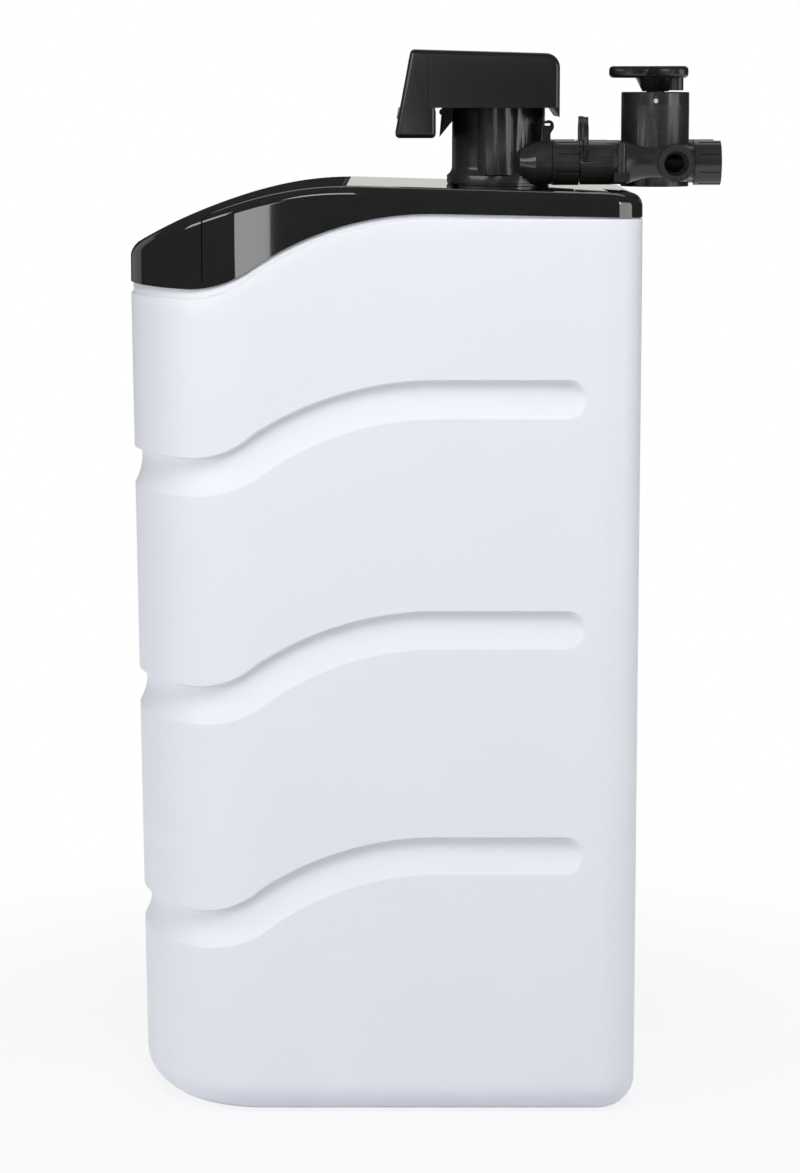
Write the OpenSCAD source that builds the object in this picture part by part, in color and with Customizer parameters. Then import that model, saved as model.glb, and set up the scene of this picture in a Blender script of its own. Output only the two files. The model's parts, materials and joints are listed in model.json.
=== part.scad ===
// Cabinet water softener: a resin tank and a salt bin in one moulded cabinet, with a rotary
// control valve on the tank and a bypass behind it.
// Frame: origin on the floor under the middle of the cabinet, +Z up, +X to the rear (the bypass).

/* [Cabinet] */
// Front-to-back depth of the cabinet at its shoulder
cabinet_depth = 500; // [480:1:540]
// Side-to-side width of the cabinet
cabinet_width = 320; // [310:1:350]
// Wall of the moulded shell
cabinet_wall = 4; // [3:0.5:5]
// How far the front draws in for each millimetre further down
front_lean = 0.0106; // [0:0.0002:0.02]
// Plan radius of the rear corners
rear_corner_r = 38; // [36:1:60]
// Plan radius of the two front corners
front_corner_r = 110; // [100:1:115]
// Plan radius of the bowed front
front_bow_r = 200; // [190:1:220]
// Rounding of the bottom edge
base_round = 32; // [20:1:34]
// Rounding of the shoulder under the cover
shoulder_round = 3; // [1:0.5:4]
// Step from the shoulder in to the neck
neck_step = 4.5; // [4.5:0.5:6]
// Height of the neck above the shoulder
neck_height = 13; // [12:1:16]

/* [Wave and grooves] */
// Level stretch from the rear wall to where the wave starts to fall
wave_level_run = 197; // [180:1:215]
// Radius of the crest of the wave
wave_crest_r = 310; // [280:1:340]
// Radius of the foot of the wave
wave_foot_r = 112; // [95:1:130]
// Fall from the rear level to the front level
wave_drop = 77; // [68:1:84]
// Number of grooves
groove_count = 3; // [1:1:3]
// Width of a groove at the surface
groove_width = 37.5; // [32:0.5:42]
// Depth of a groove
groove_depth = 8.5; // [6:0.5:10]
// Height from one groove to the next
groove_pitch = 223; // [190:1:230]
// Fall from the shoulder to the top groove
groove_fall = 172; // [150:1:180]
// Distance from the rear wall to the round end of a groove
groove_end = 55; // [50:1:80]

/* [Cover and lid] */
// Wall of the cover and the lid
cover_wall = 3; // [2.5:0.5:3.5]
// Height of the crest of the cover above the rear shoulder
crest_rise = 31; // [29:0.5:34]
// Distance from the rear wall to the crest
crest_run = 282; // [275:1:290]
// Side-view radius of the curved front of the cover
crest_r = 400; // [380:1:420]
// Fall of the rear deck, in degrees
deck_fall = 1.6; // [1:0.1:2]
// Lift of the cover's lower edge for each millimetre forward of the rear wall
cover_lift = 0.02; // [0.015:0.001:0.022]
// Rounding of the upper edge
edge_round = 9; // [6:0.5:10]
// Rounding of the upper edge at the rear
rear_edge_round = 13; // [10:0.5:14]
// Width of the rails beside the lid panel
rail_width = 10; // [9:0.5:14]
// Width of the ledge that the lid panel rests on
ledge_width = 9; // [6:0.5:12]
// Distance from the front to the lid's side seams
seam_run = 79; // [70:1:90]
// Distance from the front to the lid's hinge
hinge_run = 212; // [200:1:216]
// Gap round the lid
lid_gap = 0.8; // [0.5:0.1:1.2]
// Radius of the lid's hinge barrel
barrel_r = 4; // [3.5:0.25:5]
// Radius of the hinge pins
hinge_pin_r = 2; // [1.5:0.1:2.2]

/* [Resin tank] */
// Outside diameter of the tank
tank_d = 257; // [240:1:260]
// Height of the tank over its neck
tank_height = 905.5; // [880:0.5:940]
// Wall of the tank
tank_wall = 5; // [4:0.5:7]
// Height of the domed ends
dome_height = 95; // [85:1:100]
// Outside diameter of the neck
tank_neck_d = 89; // [86:1:92]
// Bore of the neck
tank_neck_bore = 72.6; // [72:0.2:74]
// Height of the neck ring
tank_neck_length = 30; // [24:1:32]
// Gap from the tank to the rear wall
tank_gap = 2.5; // [1:0.5:6]
// How far the neck stands above the rear shoulder
tank_neck_rise = 29.5; // [29:0.5:32]
// Depth of the resin bed
resin_depth = 520; // [300:10:560]
// Outside diameter of the riser tube
riser_d = 27; // [26:0.5:28]
// Height of the boot ring round the tank's foot
boot_height = 60; // [50:1:80]

/* [Valve body] */
// Diameter of the valve body
body_d = 92; // [90:1:94]
// Height of the valve body over its flange
body_height = 75.5; // [74:0.5:80]
// Diameter of the base flange
flange_d = 102; // [100:1:104]
// Radius of the half-round pilasters at the sides
pilaster_r = 21.5; // [18:0.5:23]
// Height of the port axes above the tank's neck
port_rise = 20; // [19:0.5:22]
// Distance between the two port axes
port_pitch = 76; // [74:1:80]
// Diameter of the port stubs
port_d = 41.8; // [40:0.2:42]
// Bore of the ports and pipes
port_bore = 23; // [22.5:0.5:24]
// Radius of the valve chamber
chamber_r = 34; // [33:0.5:35]
// Thickness of the fixed disc
fixed_disc_t = 6; // [5:0.5:7]
// Thickness of the moving disc
moving_disc_t = 6.5; // [5:0.5:7]
// Diameter of the valve stem
stem_d = 18; // [16:0.5:19]

/* [Drive] */
// Tooth module of the gears
gear_module = 1.5; // [1.4:0.05:1.6]
// Teeth of the drive gear on the stem
gear_teeth = 45; // [43:2:47]
// Teeth of the motor pinion
pinion_teeth = 15; // [15:1:16]
// Face width of the gears
gear_width = 7; // [5:0.5:8]
// Play between mating tooth flanks
backlash = 0.3; // [0.2:0.05:0.4]
// Diameter of the drive motor
motor_d = 48; // [44:1:50]
// Height of the drive motor
motor_height = 22.5; // [18:0.5:23]

/* [Control head] */
// Half of the head's width
head_half_width = 70; // [68:1:80]
// Wall of the head's shells
head_wall = 3; // [2.5:0.5:3.5]
// Height of the head above its lower edge at the front
head_height = 56.2; // [52.6:0.2:60]
// Reach of the head in front of the valve axis, at the foot of the fascia
head_front = 103; // [101:1:110]
// Reach of the head behind the valve axis
head_rear = 57.5; // [55:0.5:62]
// How far the fascia hangs below the head's lower edge
fascia_drop = 29.2; // [24:0.2:32]
// Lean of the fascia, in degrees
fascia_lean = 10.1; // [9:0.1:13]
// Diameter of a key
key_d = 11; // [9:0.5:12]
// Distance between keys
key_pitch = 22; // [20:0.5:24]
// How far a key presses in
key_travel = 0.8; // [0.5:0.1:1]

/* [Bypass] */
// Distance from the valve axis to the bypass tower
tower_run = 155; // [150:1:160]
// Radius of the tower
tower_r = 33.6; // [33:0.2:36]
// Radius of the bypass plug
plug_r = 26; // [24:0.5:26]
// Height of the bypass tower without its bonnet
tower_height = 79.8; // [76:0.2:84]
// Height of the bonnet
bonnet_height = 12.6; // [11:0.2:15]
// Mean radius of the three-lobed knob
knob_mean_r = 33; // [30:0.5:36]
// Swing of the knob's lobes about the mean radius
knob_swing = 13; // [8:0.5:14]
// Thickness of the knob
knob_t = 11.6; // [10:0.2:14]
// Height of the hub under the knob
hub_height = 13.1; // [10:0.1:16]
// Outside radius of a union nut
nut_r = 21.7; // [21.5:0.1:22.5]
// Length of a union nut
nut_length = 25.8; // [24:0.2:28]
// Waist radius of the bypass pipes beside the tower
waist_r = 15; // [14.5:0.5:17]
// Outside radius of the side ports
side_port_r = 17.5; // [16:0.25:17.75]
// Minor radius of the side ports' thread
side_port_bore_r = 12.06; // [11:0.02:13]

/* [Brine side] */
// Diameter of the brine well
well_d = 90; // [84:1:94]
// Height of the brine well
well_height = 790; // [700:1:800]
// Height of the salt grid above the cabinet's floor
grid_height = 92; // [60:1:140]
// Diameter of the float
float_d = 60; // [54:1:64]
// Height of the float's resting place
float_rest = 330; // [250:5:400]
// Travel of the float
float_travel = 25; // [15:1:40]
// Gap between the brine well and the resin tank
well_gap = 15; // [10:0.5:20]

/* [Fits] */
// Radial play of a running fit
run_fit = 0.05; // [0.03:0.01:0.08]
// Gap between pieces that seat on each other
seat_gap = 0.3; // [0.2:0.05:0.4]

/* [Hidden] */
$fn = 48;

// Overlap that joins pieces of one solid, and reach of a cut past a face
joint = 0.5;
through = 5;
half_depth = cabinet_depth / 2;
half_width = cabinet_width / 2;
neck_top = cabinet_wall + tank_height;
shoulder_height = neck_top - tank_neck_rise;
tank_r = tank_d / 2;
valve_x = half_depth - cabinet_wall - tank_gap - tank_r;

// Plan outline of the cabinet: straight rear and sides, a bowed front between two round corners
rear_steps = 5;
side_steps = 8;
corner_steps = 8;
bow_steps = 5;
bow_x = front_bow_r - half_depth;
corner_y = half_width - front_corner_r;
corner_x = bow_x - sqrt(pow(front_bow_r - front_corner_r, 2) - pow(corner_y, 2));
bow_angle = asin(corner_y / (front_bow_r - front_corner_r));

// Wave in the side view: a convex crest that runs into a concave foot
wave_angle = acos(1 - wave_drop / (wave_crest_r + wave_foot_r));
wave_x = half_depth - wave_level_run;
crest_end_x = wave_x - wave_crest_r * sin(wave_angle);
foot_end_x = crest_end_x - wave_foot_r * sin(wave_angle);
front_level = shoulder_height - wave_drop;

function unit(v) = v / norm(v);
function on_arc(cx, cy, r, a) = [cx + r * cos(a), cy + r * sin(a)];
function arc(cx, cy, r, from, to, steps) =
    [for (k = [0:steps]) on_arc(cx, cy, r, from + (to - from) * k / steps)];
function wave(x) =
    x >= wave_x ? 0
    : x >= crest_end_x ? sqrt(pow(wave_crest_r, 2) - pow(wave_x - x, 2)) - wave_crest_r
    : x >= foot_end_x ? wave_foot_r - wave_drop - sqrt(pow(wave_foot_r, 2) - pow(x - foot_end_x, 2))
    : -wave_drop;
function shoulder(x) = shoulder_height + wave(x);

// Half of the outline from the rear wall to the front, drawn in by d
function near_half(d) = concat(
    arc(half_depth - rear_corner_r, rear_corner_r - half_width, rear_corner_r - d, 0, -90, rear_steps),
    [for (k = [0:side_steps - 1]) [wave_x + (corner_x - wave_x) * k / side_steps, d - half_width]],
    arc(corner_x, -corner_y, front_corner_r - d, -90, bow_angle - 180, corner_steps),
    [for (k = [1:bow_steps])
        on_arc(bow_x, 0, front_bow_r - d, bow_angle - 180 - bow_angle * k / (bow_steps + 0.5))]);
half_count = rear_steps + side_steps + corner_steps + bow_steps + 2;
function outline(d) = let (half = near_half(d))
    concat(half, [for (i = [half_count - 1:-1:0]) [half[i].x, -half[i].y]]);
function lean_in(x, z) =
    max(0, min(1, (wave_x - x) / (wave_x - corner_x))) * front_lean * max(0, front_level - z);
function leaned(p, z) = [p.x + lean_in(p.x, z), p.y, z];
function level_ring(d, z) = [for (p = outline(d)) leaned(p, z)];
function wave_ring(d, rise) = [for (p = outline(d)) leaned(p, shoulder(p.x) + rise)];

// Walls of triangles between rings of points, listed from the first ring to the last
function wall_faces(count, last) = [for (k = [0:last - 1], i = [0:count - 1])
    let (a = k * count + i, b = k * count + (i + 1) % count)
    each [[a, b, b + count], [a, b + count, a + count]]];

// Solid through rings that are mirrored about the X axis, closed by strips across
module loft(rings) {
    count = len(rings[0]);
    last = len(rings) - 1;
    strips = [for (i = [0:count / 2 - 2])
        each [[i, i + 1, count - 2 - i], [i, count - 2 - i, count - 1 - i]]];
    foot = [for (f = strips) [f[2], f[1], f[0]]];
    roof = [for (f = strips) [for (i = f) i + last * count]];
    polyhedron([for (ring = rings, p = ring) p], concat(wall_faces(count, last), foot, roof));
}

// Solid through rings along a route, closed by its first and last ring
module sweep(rings) {
    count = len(rings[0]);
    last = len(rings) - 1;
    start = [for (i = [count - 1:-1:0]) i];
    end = [for (i = [0:count - 1]) last * count + i];
    polyhedron([for (ring = rings, p = ring) p], concat(wall_faces(count, last), [start, end]));
}

// Cylinders along X, along Y and upright, from one place to another
module rod_x(x0, x1, r) {
    translate([x0, 0, 0]) rotate([0, 90, 0]) cylinder(h = x1 - x0, r = r);
}
module rod_y(y0, y1, r) {
    translate([0, y1, 0]) rotate([90, 0, 0]) cylinder(h = y1 - y0, r = r);
}
module rod_z(z0, z1, r) {
    translate([0, 0, z0]) cylinder(h = z1 - z0, r = r);
}
module torus(ring_r, wire_r) {
    rotate_extrude() translate([ring_r, 0]) circle(wire_r);
}
// Plate of a side-view outline, centred on the X-Z plane
module side_plate(width) {
    rotate([90, 0, 0]) linear_extrude(width, center = true) children();
}
module both_sides() {
    children();
    mirror([0, 1, 0]) children();
}
module at_valve() {
    translate([valve_x, 0, neck_top]) children();
}

// Cabinet
module cabinet_outside() {
    steps = 5;
    base = [for (k = [0:steps]) let (a = 90 * k / steps)
        level_ring(base_round * (1 - sin(a)), base_round * (1 - cos(a)))];
    top = [for (a = [0, 45, 90]) wave_ring(shoulder_round * (1 - cos(a)), shoulder_round * (sin(a) - 1))];
    neck = [wave_ring(neck_step, 0), wave_ring(neck_step, neck_height)];
    loft(concat(base, top, neck));
}
module cabinet_inside() {
    steps = 3;
    r = base_round - cabinet_wall;
    base = [for (k = [0:steps]) let (a = 90 * k / steps)
        level_ring(cabinet_wall + r * (1 - sin(a)), cabinet_wall + r * (1 - cos(a)))];
    top = [wave_ring(cabinet_wall, -2 * cabinet_wall), wave_ring(neck_step + cabinet_wall, -cabinet_wall),
        wave_ring(neck_step + cabinet_wall, neck_height + through)];
    loft(concat(base, top));
}

// Groove: a round-bottomed channel along the wave and round the front, with ball ends
groove_r = (pow(groove_width / 2, 2) + pow(groove_depth, 2)) / (2 * groove_depth);
groove_out = groove_r - groove_depth;
groove_spread = 72;
ball_angles = [72, 48, 24];
function groove_half(z) = let (surface = near_half(0), route = near_half(-groove_out)) concat(
    [[half_depth - groove_end - groove_width / 2, -half_width - groove_out, z]],
    [for (i = [rear_steps + 1:half_count - 1]) leaned(route[i], z + wave(surface[i].x))]);
function groove_route(z) = let (half = groove_half(z))
    concat(half, [for (i = [len(half) - 1:-1:0]) [half[i].x, -half[i].y, half[i].z]]);
function groove_section(p, along, r, steps) =
    let (out = unit([-along.y, along.x, 0]), up = cross(along, out))
    [for (k = [0:steps]) let (a = groove_spread * (2 * k / steps - 1)) p + r * (sin(a) * up - cos(a) * out)];
module groove(z, r, steps) {
    route = groove_route(z);
    last = len(route) - 1;
    first_way = unit(route[1] - route[0]);
    last_way = unit(route[last] - route[last - 1]);
    sweep(concat(
        [for (b = ball_angles) groove_section(route[0] - r * sin(b) * first_way,
            first_way, r * cos(b), steps)],
        [groove_section(route[0], first_way, r, steps)],
        [for (i = [1:last - 1])
            groove_section(route[i], unit(unit(route[i + 1] - route[i]) + unit(route[i] - route[i - 1])),
                r, steps)],
        [groove_section(route[last], last_way, r, steps)],
        [for (k = [2:-1:0]) let (b = ball_angles[k])
            groove_section(route[last] + r * sin(b) * last_way, last_way, r * cos(b), steps)]));
}
module grooves(r, steps) {
    for (k = [0:groove_count - 1])
        groove(shoulder_height - groove_fall - k * groove_pitch, r, steps);
}
module cabinet() {
    color("white") difference() {
        cabinet_outside();
        grooves(groove_r, 6);
        difference() {
            cabinet_inside();
            grooves(groove_r + cabinet_wall, 4);
        }
        translate([well_x, 0, overflow_height])
            rod_y(half_width - through * 2, half_width + through, overflow_r);
    }
}

// Cover and lid share one hood, drawn in by d and lowered by drop
crest_x = half_depth - crest_run;
crest_z = shoulder_height + crest_rise;
deck_x = crest_x + crest_r * sin(deck_fall);
seam_x = seam_run - half_depth;
hinge_x = hinge_run - half_depth;
function hood_top(x) = x < deck_x
    ? crest_z - crest_r + sqrt(pow(crest_r, 2) - pow(x - crest_x, 2))
    : crest_z - crest_r * (1 - cos(deck_fall)) - tan(deck_fall) * (x - deck_x);
function hood_low(x) = shoulder(x) + seat_gap + cover_lift * (half_depth - x);
function hood_round(x, d) = let (t = max(0, (x - half_depth + rear_corner_r) / rear_corner_r))
    edge_round + t * (rear_edge_round - edge_round) - d;
hinge_z = hood_top(hinge_x) - barrel_r;
module hood(d, drop) {
    base = outline(0);
    count = len(base);
    // Ring at the height where the rounding starts, then round it over in steps
    function hood_ring(a) = [for (i = [0:count - 1])
        let (r = hood_round(base[i].x, d), p = outline(d + r * (1 - cos(a)))[i])
        [p.x, p.y, hood_top(p.x) - drop - r * (1 - sin(a))]];
    foot = [for (p = outline(d)) [p.x, p.y, hood_low(p.x) - (d > 0 ? through : 0)]];
    loft(concat([foot], [for (a = [0:22.5:90]) hood_ring(a)]));
}
module hood_shell() {
    difference() {
        hood(0, 0);
        hood(cover_wall, cover_wall);
    }
}
// Region of the lid in plan: the front hood and the panel between the rails, grown by gap
module lid_region(gap) {
    panel_half = half_width - rail_width + gap - lid_gap;
    translate([0, 0, front_level - through]) linear_extrude(crest_z) {
        translate([-half_depth - through, -half_width - through])
            square([seam_run + through + gap - lid_gap, cabinet_width + 2 * through]);
        translate([seam_x - through, -panel_half])
            square([hinge_x + through - seam_x + (gap > 0 ? barrel_r + gap : 0), 2 * panel_half]);
    }
}
neck_hole_r = tank_neck_d / 2 + 2;
line_hole_r = 9;
rib_length = 12;
module cover_ledge() {
    ledge_half = half_width - rail_width - ledge_width;
    difference() {
        intersection() {
            difference() {
                hood(cover_wall - joint, cover_wall + seat_gap);
                hood(cover_wall - joint, 2 * cover_wall + seat_gap);
            }
            translate([corner_x, -half_width, front_level])
                cube([hinge_x - corner_x - 2 * barrel_r, cabinet_width, crest_z]);
        }
        translate([seam_x - through, -ledge_half, front_level])
            cube([hinge_x - seam_x + 2 * through, 2 * ledge_half, crest_z]);
    }
}
module cover_ribs() {
    for (x = [seam_x + 2 * rib_length, wave_x + rib_length, half_depth - 2 * rear_corner_r]) {
        low = shoulder(x + rib_length / 2) + neck_height + seat_gap;
        both_sides() translate([x - rib_length / 2, -half_width + cover_wall - joint, low])
            cube([rib_length, rail_width, hood_top(x) - 2 * cover_wall - low]);
    }
}
module hinge_lugs() {
    lug = barrel_r + 1.5;
    both_sides() translate([hinge_x - lug, cover_wall - joint - half_width, hinge_z - lug])
        cube([2 * lug, rail_width - cover_wall + joint, lug + barrel_r - cover_wall + joint]);
}
module top_cover() {
    color("#1b1b1d") difference() {
        union() {
            difference() {
                hood_shell();
                lid_region(lid_gap);
            }
            cover_ledge();
            cover_ribs();
            hinge_lugs();
        }
        translate([valve_x, 0, front_level]) cylinder(h = crest_z, r = neck_hole_r);
        translate([line_x, line_y, front_level]) cylinder(h = crest_z, r = line_hole_r);
        translate([hinge_x, 0, hinge_z]) rod_y(cover_wall - half_width, half_width - cover_wall, hinge_pin_r);
    }
}
pin_grip = 8;
module salt_lid() {
    barrel_half = half_width - rail_width - lid_gap;
    color("#141416") difference() {
        union() {
            intersection() {
                hood_shell();
                lid_region(0);
            }
            translate([hinge_x, 0, hinge_z]) rod_y(-barrel_half, barrel_half, barrel_r);
        }
        translate([hinge_x, 0, hinge_z]) both_sides()
            rod_y(barrel_half - pin_grip - 1, barrel_half + 1, hinge_pin_r + run_fit);
    }
}
module lid_hinge_pins() {
    pin_out = half_width - cover_wall;
    color("silver") translate([hinge_x, 0, hinge_z]) both_sides()
        rod_y(half_width - rail_width - lid_gap - pin_grip, pin_out, hinge_pin_r);
}

// Resin tank, stood on the cabinet's floor, and what it holds
dome_steps = 6;
tank_foot = 6;
// Revolved outline of the tank, drawn in by d: domed foot, straight wall, domed top
function tank_outline(d) = let (
        r = tank_r - d,
        h = dome_height - d,
        low = dome_height + tank_foot,
        high = tank_height - tank_neck_length - dome_height + tank_foot)
    concat([[0, low - h]],
        [for (k = [1:dome_steps]) [r * sin(90 * k / dome_steps), low - h * cos(90 * k / dome_steps)]],
        [for (k = [0:dome_steps - 1]) [r * cos(90 * k / dome_steps), high + h * sin(90 * k / dome_steps)]],
        [[0, high + h]]);
module resin_tank() {
    color("#6b8fb5") translate([valve_x, 0, cabinet_wall]) difference() {
        union() {
            rotate_extrude() polygon(tank_outline(0));
            rod_z(tank_height - 2 * tank_neck_length, tank_height, tank_neck_d / 2);
        }
        rotate_extrude() polygon(tank_outline(tank_wall));
        rod_z(tank_height - 3 * tank_neck_length, tank_height + through, tank_neck_bore / 2);
    }
}
boot_round = base_round - cabinet_wall + 2;
module tank_boot() {
    boot_r = tank_r - 2;
    color("#222") translate([valve_x, 0, cabinet_wall]) difference() {
        rotate_extrude() polygon(concat([[0, 0]], arc(boot_r - boot_round, boot_round, boot_round, -90, 0, 6),
            [[boot_r, boot_height], [0, boot_height]]));
        rotate_extrude() polygon(tank_outline(-seat_gap));
        rod_z(-through, boot_height, tank_r / 2);
    }
}
riser_foot = tank_foot + tank_wall + 8;
basket_r = 24;
basket_height = 60;
riser_wall = 1.8;
// Revolved outlines that fill the tank's round foot or stop short of a height
module tank_fill(d, top) {
    intersection() {
        rotate_extrude() polygon(tank_outline(d));
        rod_z(0, top, tank_r);
    }
}
module resin_bed() {
    color("#c8862f") translate([valve_x, 0, cabinet_wall]) difference() {
        tank_fill(tank_wall + seat_gap, tank_foot + tank_wall + resin_depth);
        rod_z(0, riser_foot + basket_height + seat_gap, basket_r + seat_gap);
        rod_z(0, tank_height, riser_d / 2 + seat_gap);
    }
}
riser_top = 8;
module riser_tube() {
    color("#e6e6e0") translate([valve_x, 0, cabinet_wall]) difference() {
        rod_z(riser_foot + riser_wall, tank_height + riser_top - seat_gap, riser_d / 2);
        rod_z(0, tank_height + 2 * riser_top, riser_d / 2 - riser_wall);
    }
}
// Strainer basket: a cup with a ring of upright slots round the riser
module basket(r, height, slots, top_bore) {
    difference() {
        rod_z(0, height, r);
        rod_z(riser_wall, height - riser_wall, r - riser_wall);
        rod_z(riser_wall, height + through, top_bore);
        for (k = [0:slots - 1])
            rotate(360 * k / slots) translate([r - 2 * riser_wall, -0.75, height / 4])
                cube([4 * riser_wall, 1.5, height / 2]);
    }
}
module bottom_basket() {
    color("#d0d0c8") translate([valve_x, 0, cabinet_wall + riser_foot])
        basket(basket_r, basket_height, 16, riser_d / 2 + run_fit);
}
// Spigot of the valve that screws into the tank's neck, and the strainer under it
spigot_length = 24.5;
spigot_r = tank_neck_bore / 2 - seat_gap;
top_basket_r = 30;
module top_basket() {
    color("#d0d0c8") at_valve() translate([0, 0, -spigot_length]) mirror([0, 0, 1]) difference() {
        basket(top_basket_r, 36, 16, riser_d / 2 + run_fit);
        rod_z(-1, 36, riser_d / 2 + run_fit);
    }
}
oring_wire = 2.4;
oring_ring = (tank_neck_bore + tank_neck_d) / 4;
module tank_oring() {
    color("black") at_valve() translate([0, 0, oring_wire]) torus(oring_ring, oring_wire);
}

// Brine well, salt grid and overflow
well_r = well_d / 2;
well_y = half_width - base_round - well_r - joint;
well_x = valve_x - sqrt(pow(tank_r + well_gap + well_r, 2) - pow(well_y, 2));
// The overflow goes through the wall midway between the two upper grooves
overflow_height = shoulder(well_x) - groove_fall - groove_pitch / 2;
well_wall = 3;
well_top = cabinet_wall + well_height;
cap_t = 3;
module at_well(z) {
    translate([well_x, well_y, z]) children();
}
line_r = 4.75;
module brine_well() {
    slots = 8;
    color("#eceff2") difference() {
        at_well(cabinet_wall) rod_z(0, well_height, well_r);
        at_well(cabinet_wall) rod_z(-1, well_height + 1, well_r - well_wall);
        for (k = [0:slots - 1])
            at_well(cabinet_wall + 20) rotate(360 * (k + 0.5) / slots)
                translate([well_r - 2 * well_wall, -2, 0]) cube([4 * well_wall, 4, 40]);
    }
}
module brine_well_cap() {
    color("#dfe3e6") at_well(well_top) difference() {
        union() {
            rod_z(0, cap_t, well_r + 2);
            rod_z(-8, 0.5, well_r - well_wall - run_fit);
        }
        rod_z(-10, cap_t + 1, line_r + 2 * seat_gap);
    }
}
leg_r = 9;
grid_t = 4;
slot_pitch = 22;
slot_size = [5, 38];
slot_row = 50;
module salt_grid() {
    rim = cabinet_wall + groove_depth + 6;
    tank_edge = valve_x - tank_r - 6;
    leg_y = half_width - base_round - leg_r - 2;
    legs = [[corner_x, -leg_y], [corner_x - leg_r, leg_y - leg_r / 2], [bow_x - front_bow_r + 3 * rim, 0],
        [tank_edge - 2 * leg_r, -leg_y], [tank_edge - 2 * leg_r, -leg_r]];
    color("#f2f2ee") difference() {
        union() {
            intersection() {
                translate([0, 0, cabinet_wall + grid_height])
                    linear_extrude(grid_t) polygon(outline(rim));
                translate([-half_depth, -half_width, 0])
                    cube([half_depth + tank_edge, cabinet_width, neck_top]);
            }
            for (p = legs) translate([p.x, p.y, 0])
                rod_z(cabinet_wall, cabinet_wall + grid_height + grid_t / 2, leg_r);
        }
        at_well(0) rod_z(0, neck_top, well_r + 1.5);
        at_well(0) translate([-well_r - 1.5, 0, 0]) cube([cabinet_depth, cabinet_width, neck_top]);
        for (x = [corner_x - 2.5 * slot_pitch:slot_pitch:tank_edge - slot_pitch], k = [-2:0])
            translate([x, k * slot_row, cabinet_wall + grid_height - 1])
                cube([slot_size.x, slot_size.y, grid_t + 2]);
    }
}
pickup_r = 6;
pickup_foot = 84;
brine_valve_z = float_rest + 270;
brine_valve_height = 46;
brine_valve_r = 15;
rod_r = 2.5;
rod_offset = 20;
module brine_valve() {
    color("#e9ecee") at_well(0) difference() {
        union() {
            rod_z(pickup_foot, brine_valve_z + 1, pickup_r);
            rod_z(brine_valve_z, brine_valve_z + brine_valve_height, brine_valve_r);
            rod_z(float_rest - seat_gap - 4, float_rest - seat_gap, 2 * pickup_r);
            translate([0, -6, brine_valve_z]) cube([rod_offset + 6, 12, 10]);
        }
        rod_z(pickup_foot - 1, brine_valve_z + brine_valve_height + 1, pickup_r - 2);
        rod_z(brine_valve_z + brine_valve_height - 12, brine_valve_z + brine_valve_height + 1, line_r);
        translate([rod_offset, 0, 0]) rod_z(brine_valve_z - 1, brine_valve_z + 11, rod_r + run_fit);
    }
}
module air_check() {
    color("#e9ecee") at_well(0) difference() {
        rod_z(cabinet_wall, pickup_foot + 16, brine_valve_r);
        rod_z(pickup_foot, pickup_foot + 17, pickup_r + run_fit);
        rod_z(cabinet_wall + 6, pickup_foot - 8, brine_valve_r - 4);
        rod_z(pickup_foot - 9, pickup_foot + 1, pickup_r - 2);
        for (k = [0:5])
            rotate(60 * k) translate([8, -2, cabinet_wall + 10]) cube([10, 4, 40]);
    }
}
float_height = 70;
module float() {
    color("#f4f4f0") at_well(float_rest) difference() {
        rotate_extrude() polygon(concat([[pickup_r + 2, 0]],
            arc(float_d / 2 - 8, 8, 8, -90, 0, 4), arc(float_d / 2 - 8, float_height - 8, 8, 0, 90, 4),
            [[pickup_r + 2, float_height]]));
        translate([rod_offset, 0, 0]) rod_z(-1, float_height + 1, rod_r + run_fit);
    }
}
module float_rod() {
    color("silver") at_well(0) translate([rod_offset, 0, 0])
        rod_z(float_rest, brine_valve_z + 20, rod_r);
}

// Route of the brine line, from the valve's brine elbow down into the well
line_x = valve_x - 30;
line_y = 66;
line_drop = neck_top - 1;
line_route = [[line_x, line_y, line_drop], [line_x, line_y, neck_top - 14], [valve_x - 36, 68, neck_top - 26],
    [valve_x - 52, 72, neck_top - 38], [valve_x - 80, 77, neck_top - 49], [valve_x - 112, 81, neck_top - 58],
    [well_x + 30, well_y - 1, neck_top - 66], [well_x + 10, well_y, neck_top - 78],
    [well_x, well_y, neck_top - 96], [well_x, well_y, well_top - 20],
    [well_x, well_y, brine_valve_z + brine_valve_height - 12 + seat_gap]];
line_sides = 10;
line_fine = 3;
// Smooth curve through the route's points
function between(a, b, c, d, t) = 0.5 * (2 * b + (c - a) * t + (2 * a - 5 * b + 4 * c - d) * t * t
    + (3 * b - a - 3 * c + d) * t * t * t);
function smooth_route(p) = let (last = len(p) - 1) concat(
    [for (i = [0:last - 1], k = [0:line_fine - 1])
        between(p[max(i - 1, 0)], p[i], p[i + 1], p[min(i + 2, last)], k / line_fine)], [p[last]]);
function round_section(p, along, r) =
    let (side = unit(cross(along, [0.3, 1, 0.1])), up = cross(along, side))
    [for (k = [0:line_sides - 1]) let (a = 360 * k / line_sides) p + r * (cos(a) * side + sin(a) * up)];
module brine_line() {
    route = smooth_route(line_route);
    last = len(route) - 1;
    color("#f2f2f2") sweep([for (i = [0:last]) round_section(route[i],
        i == 0 || i == last ? [0, 0, -1] : unit(route[i + 1] - route[i - 1]), line_r - run_fit)]);
}
overflow_r = 9;
overflow_flange_t = 3;
overflow_barb_r = 6.5;
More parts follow.
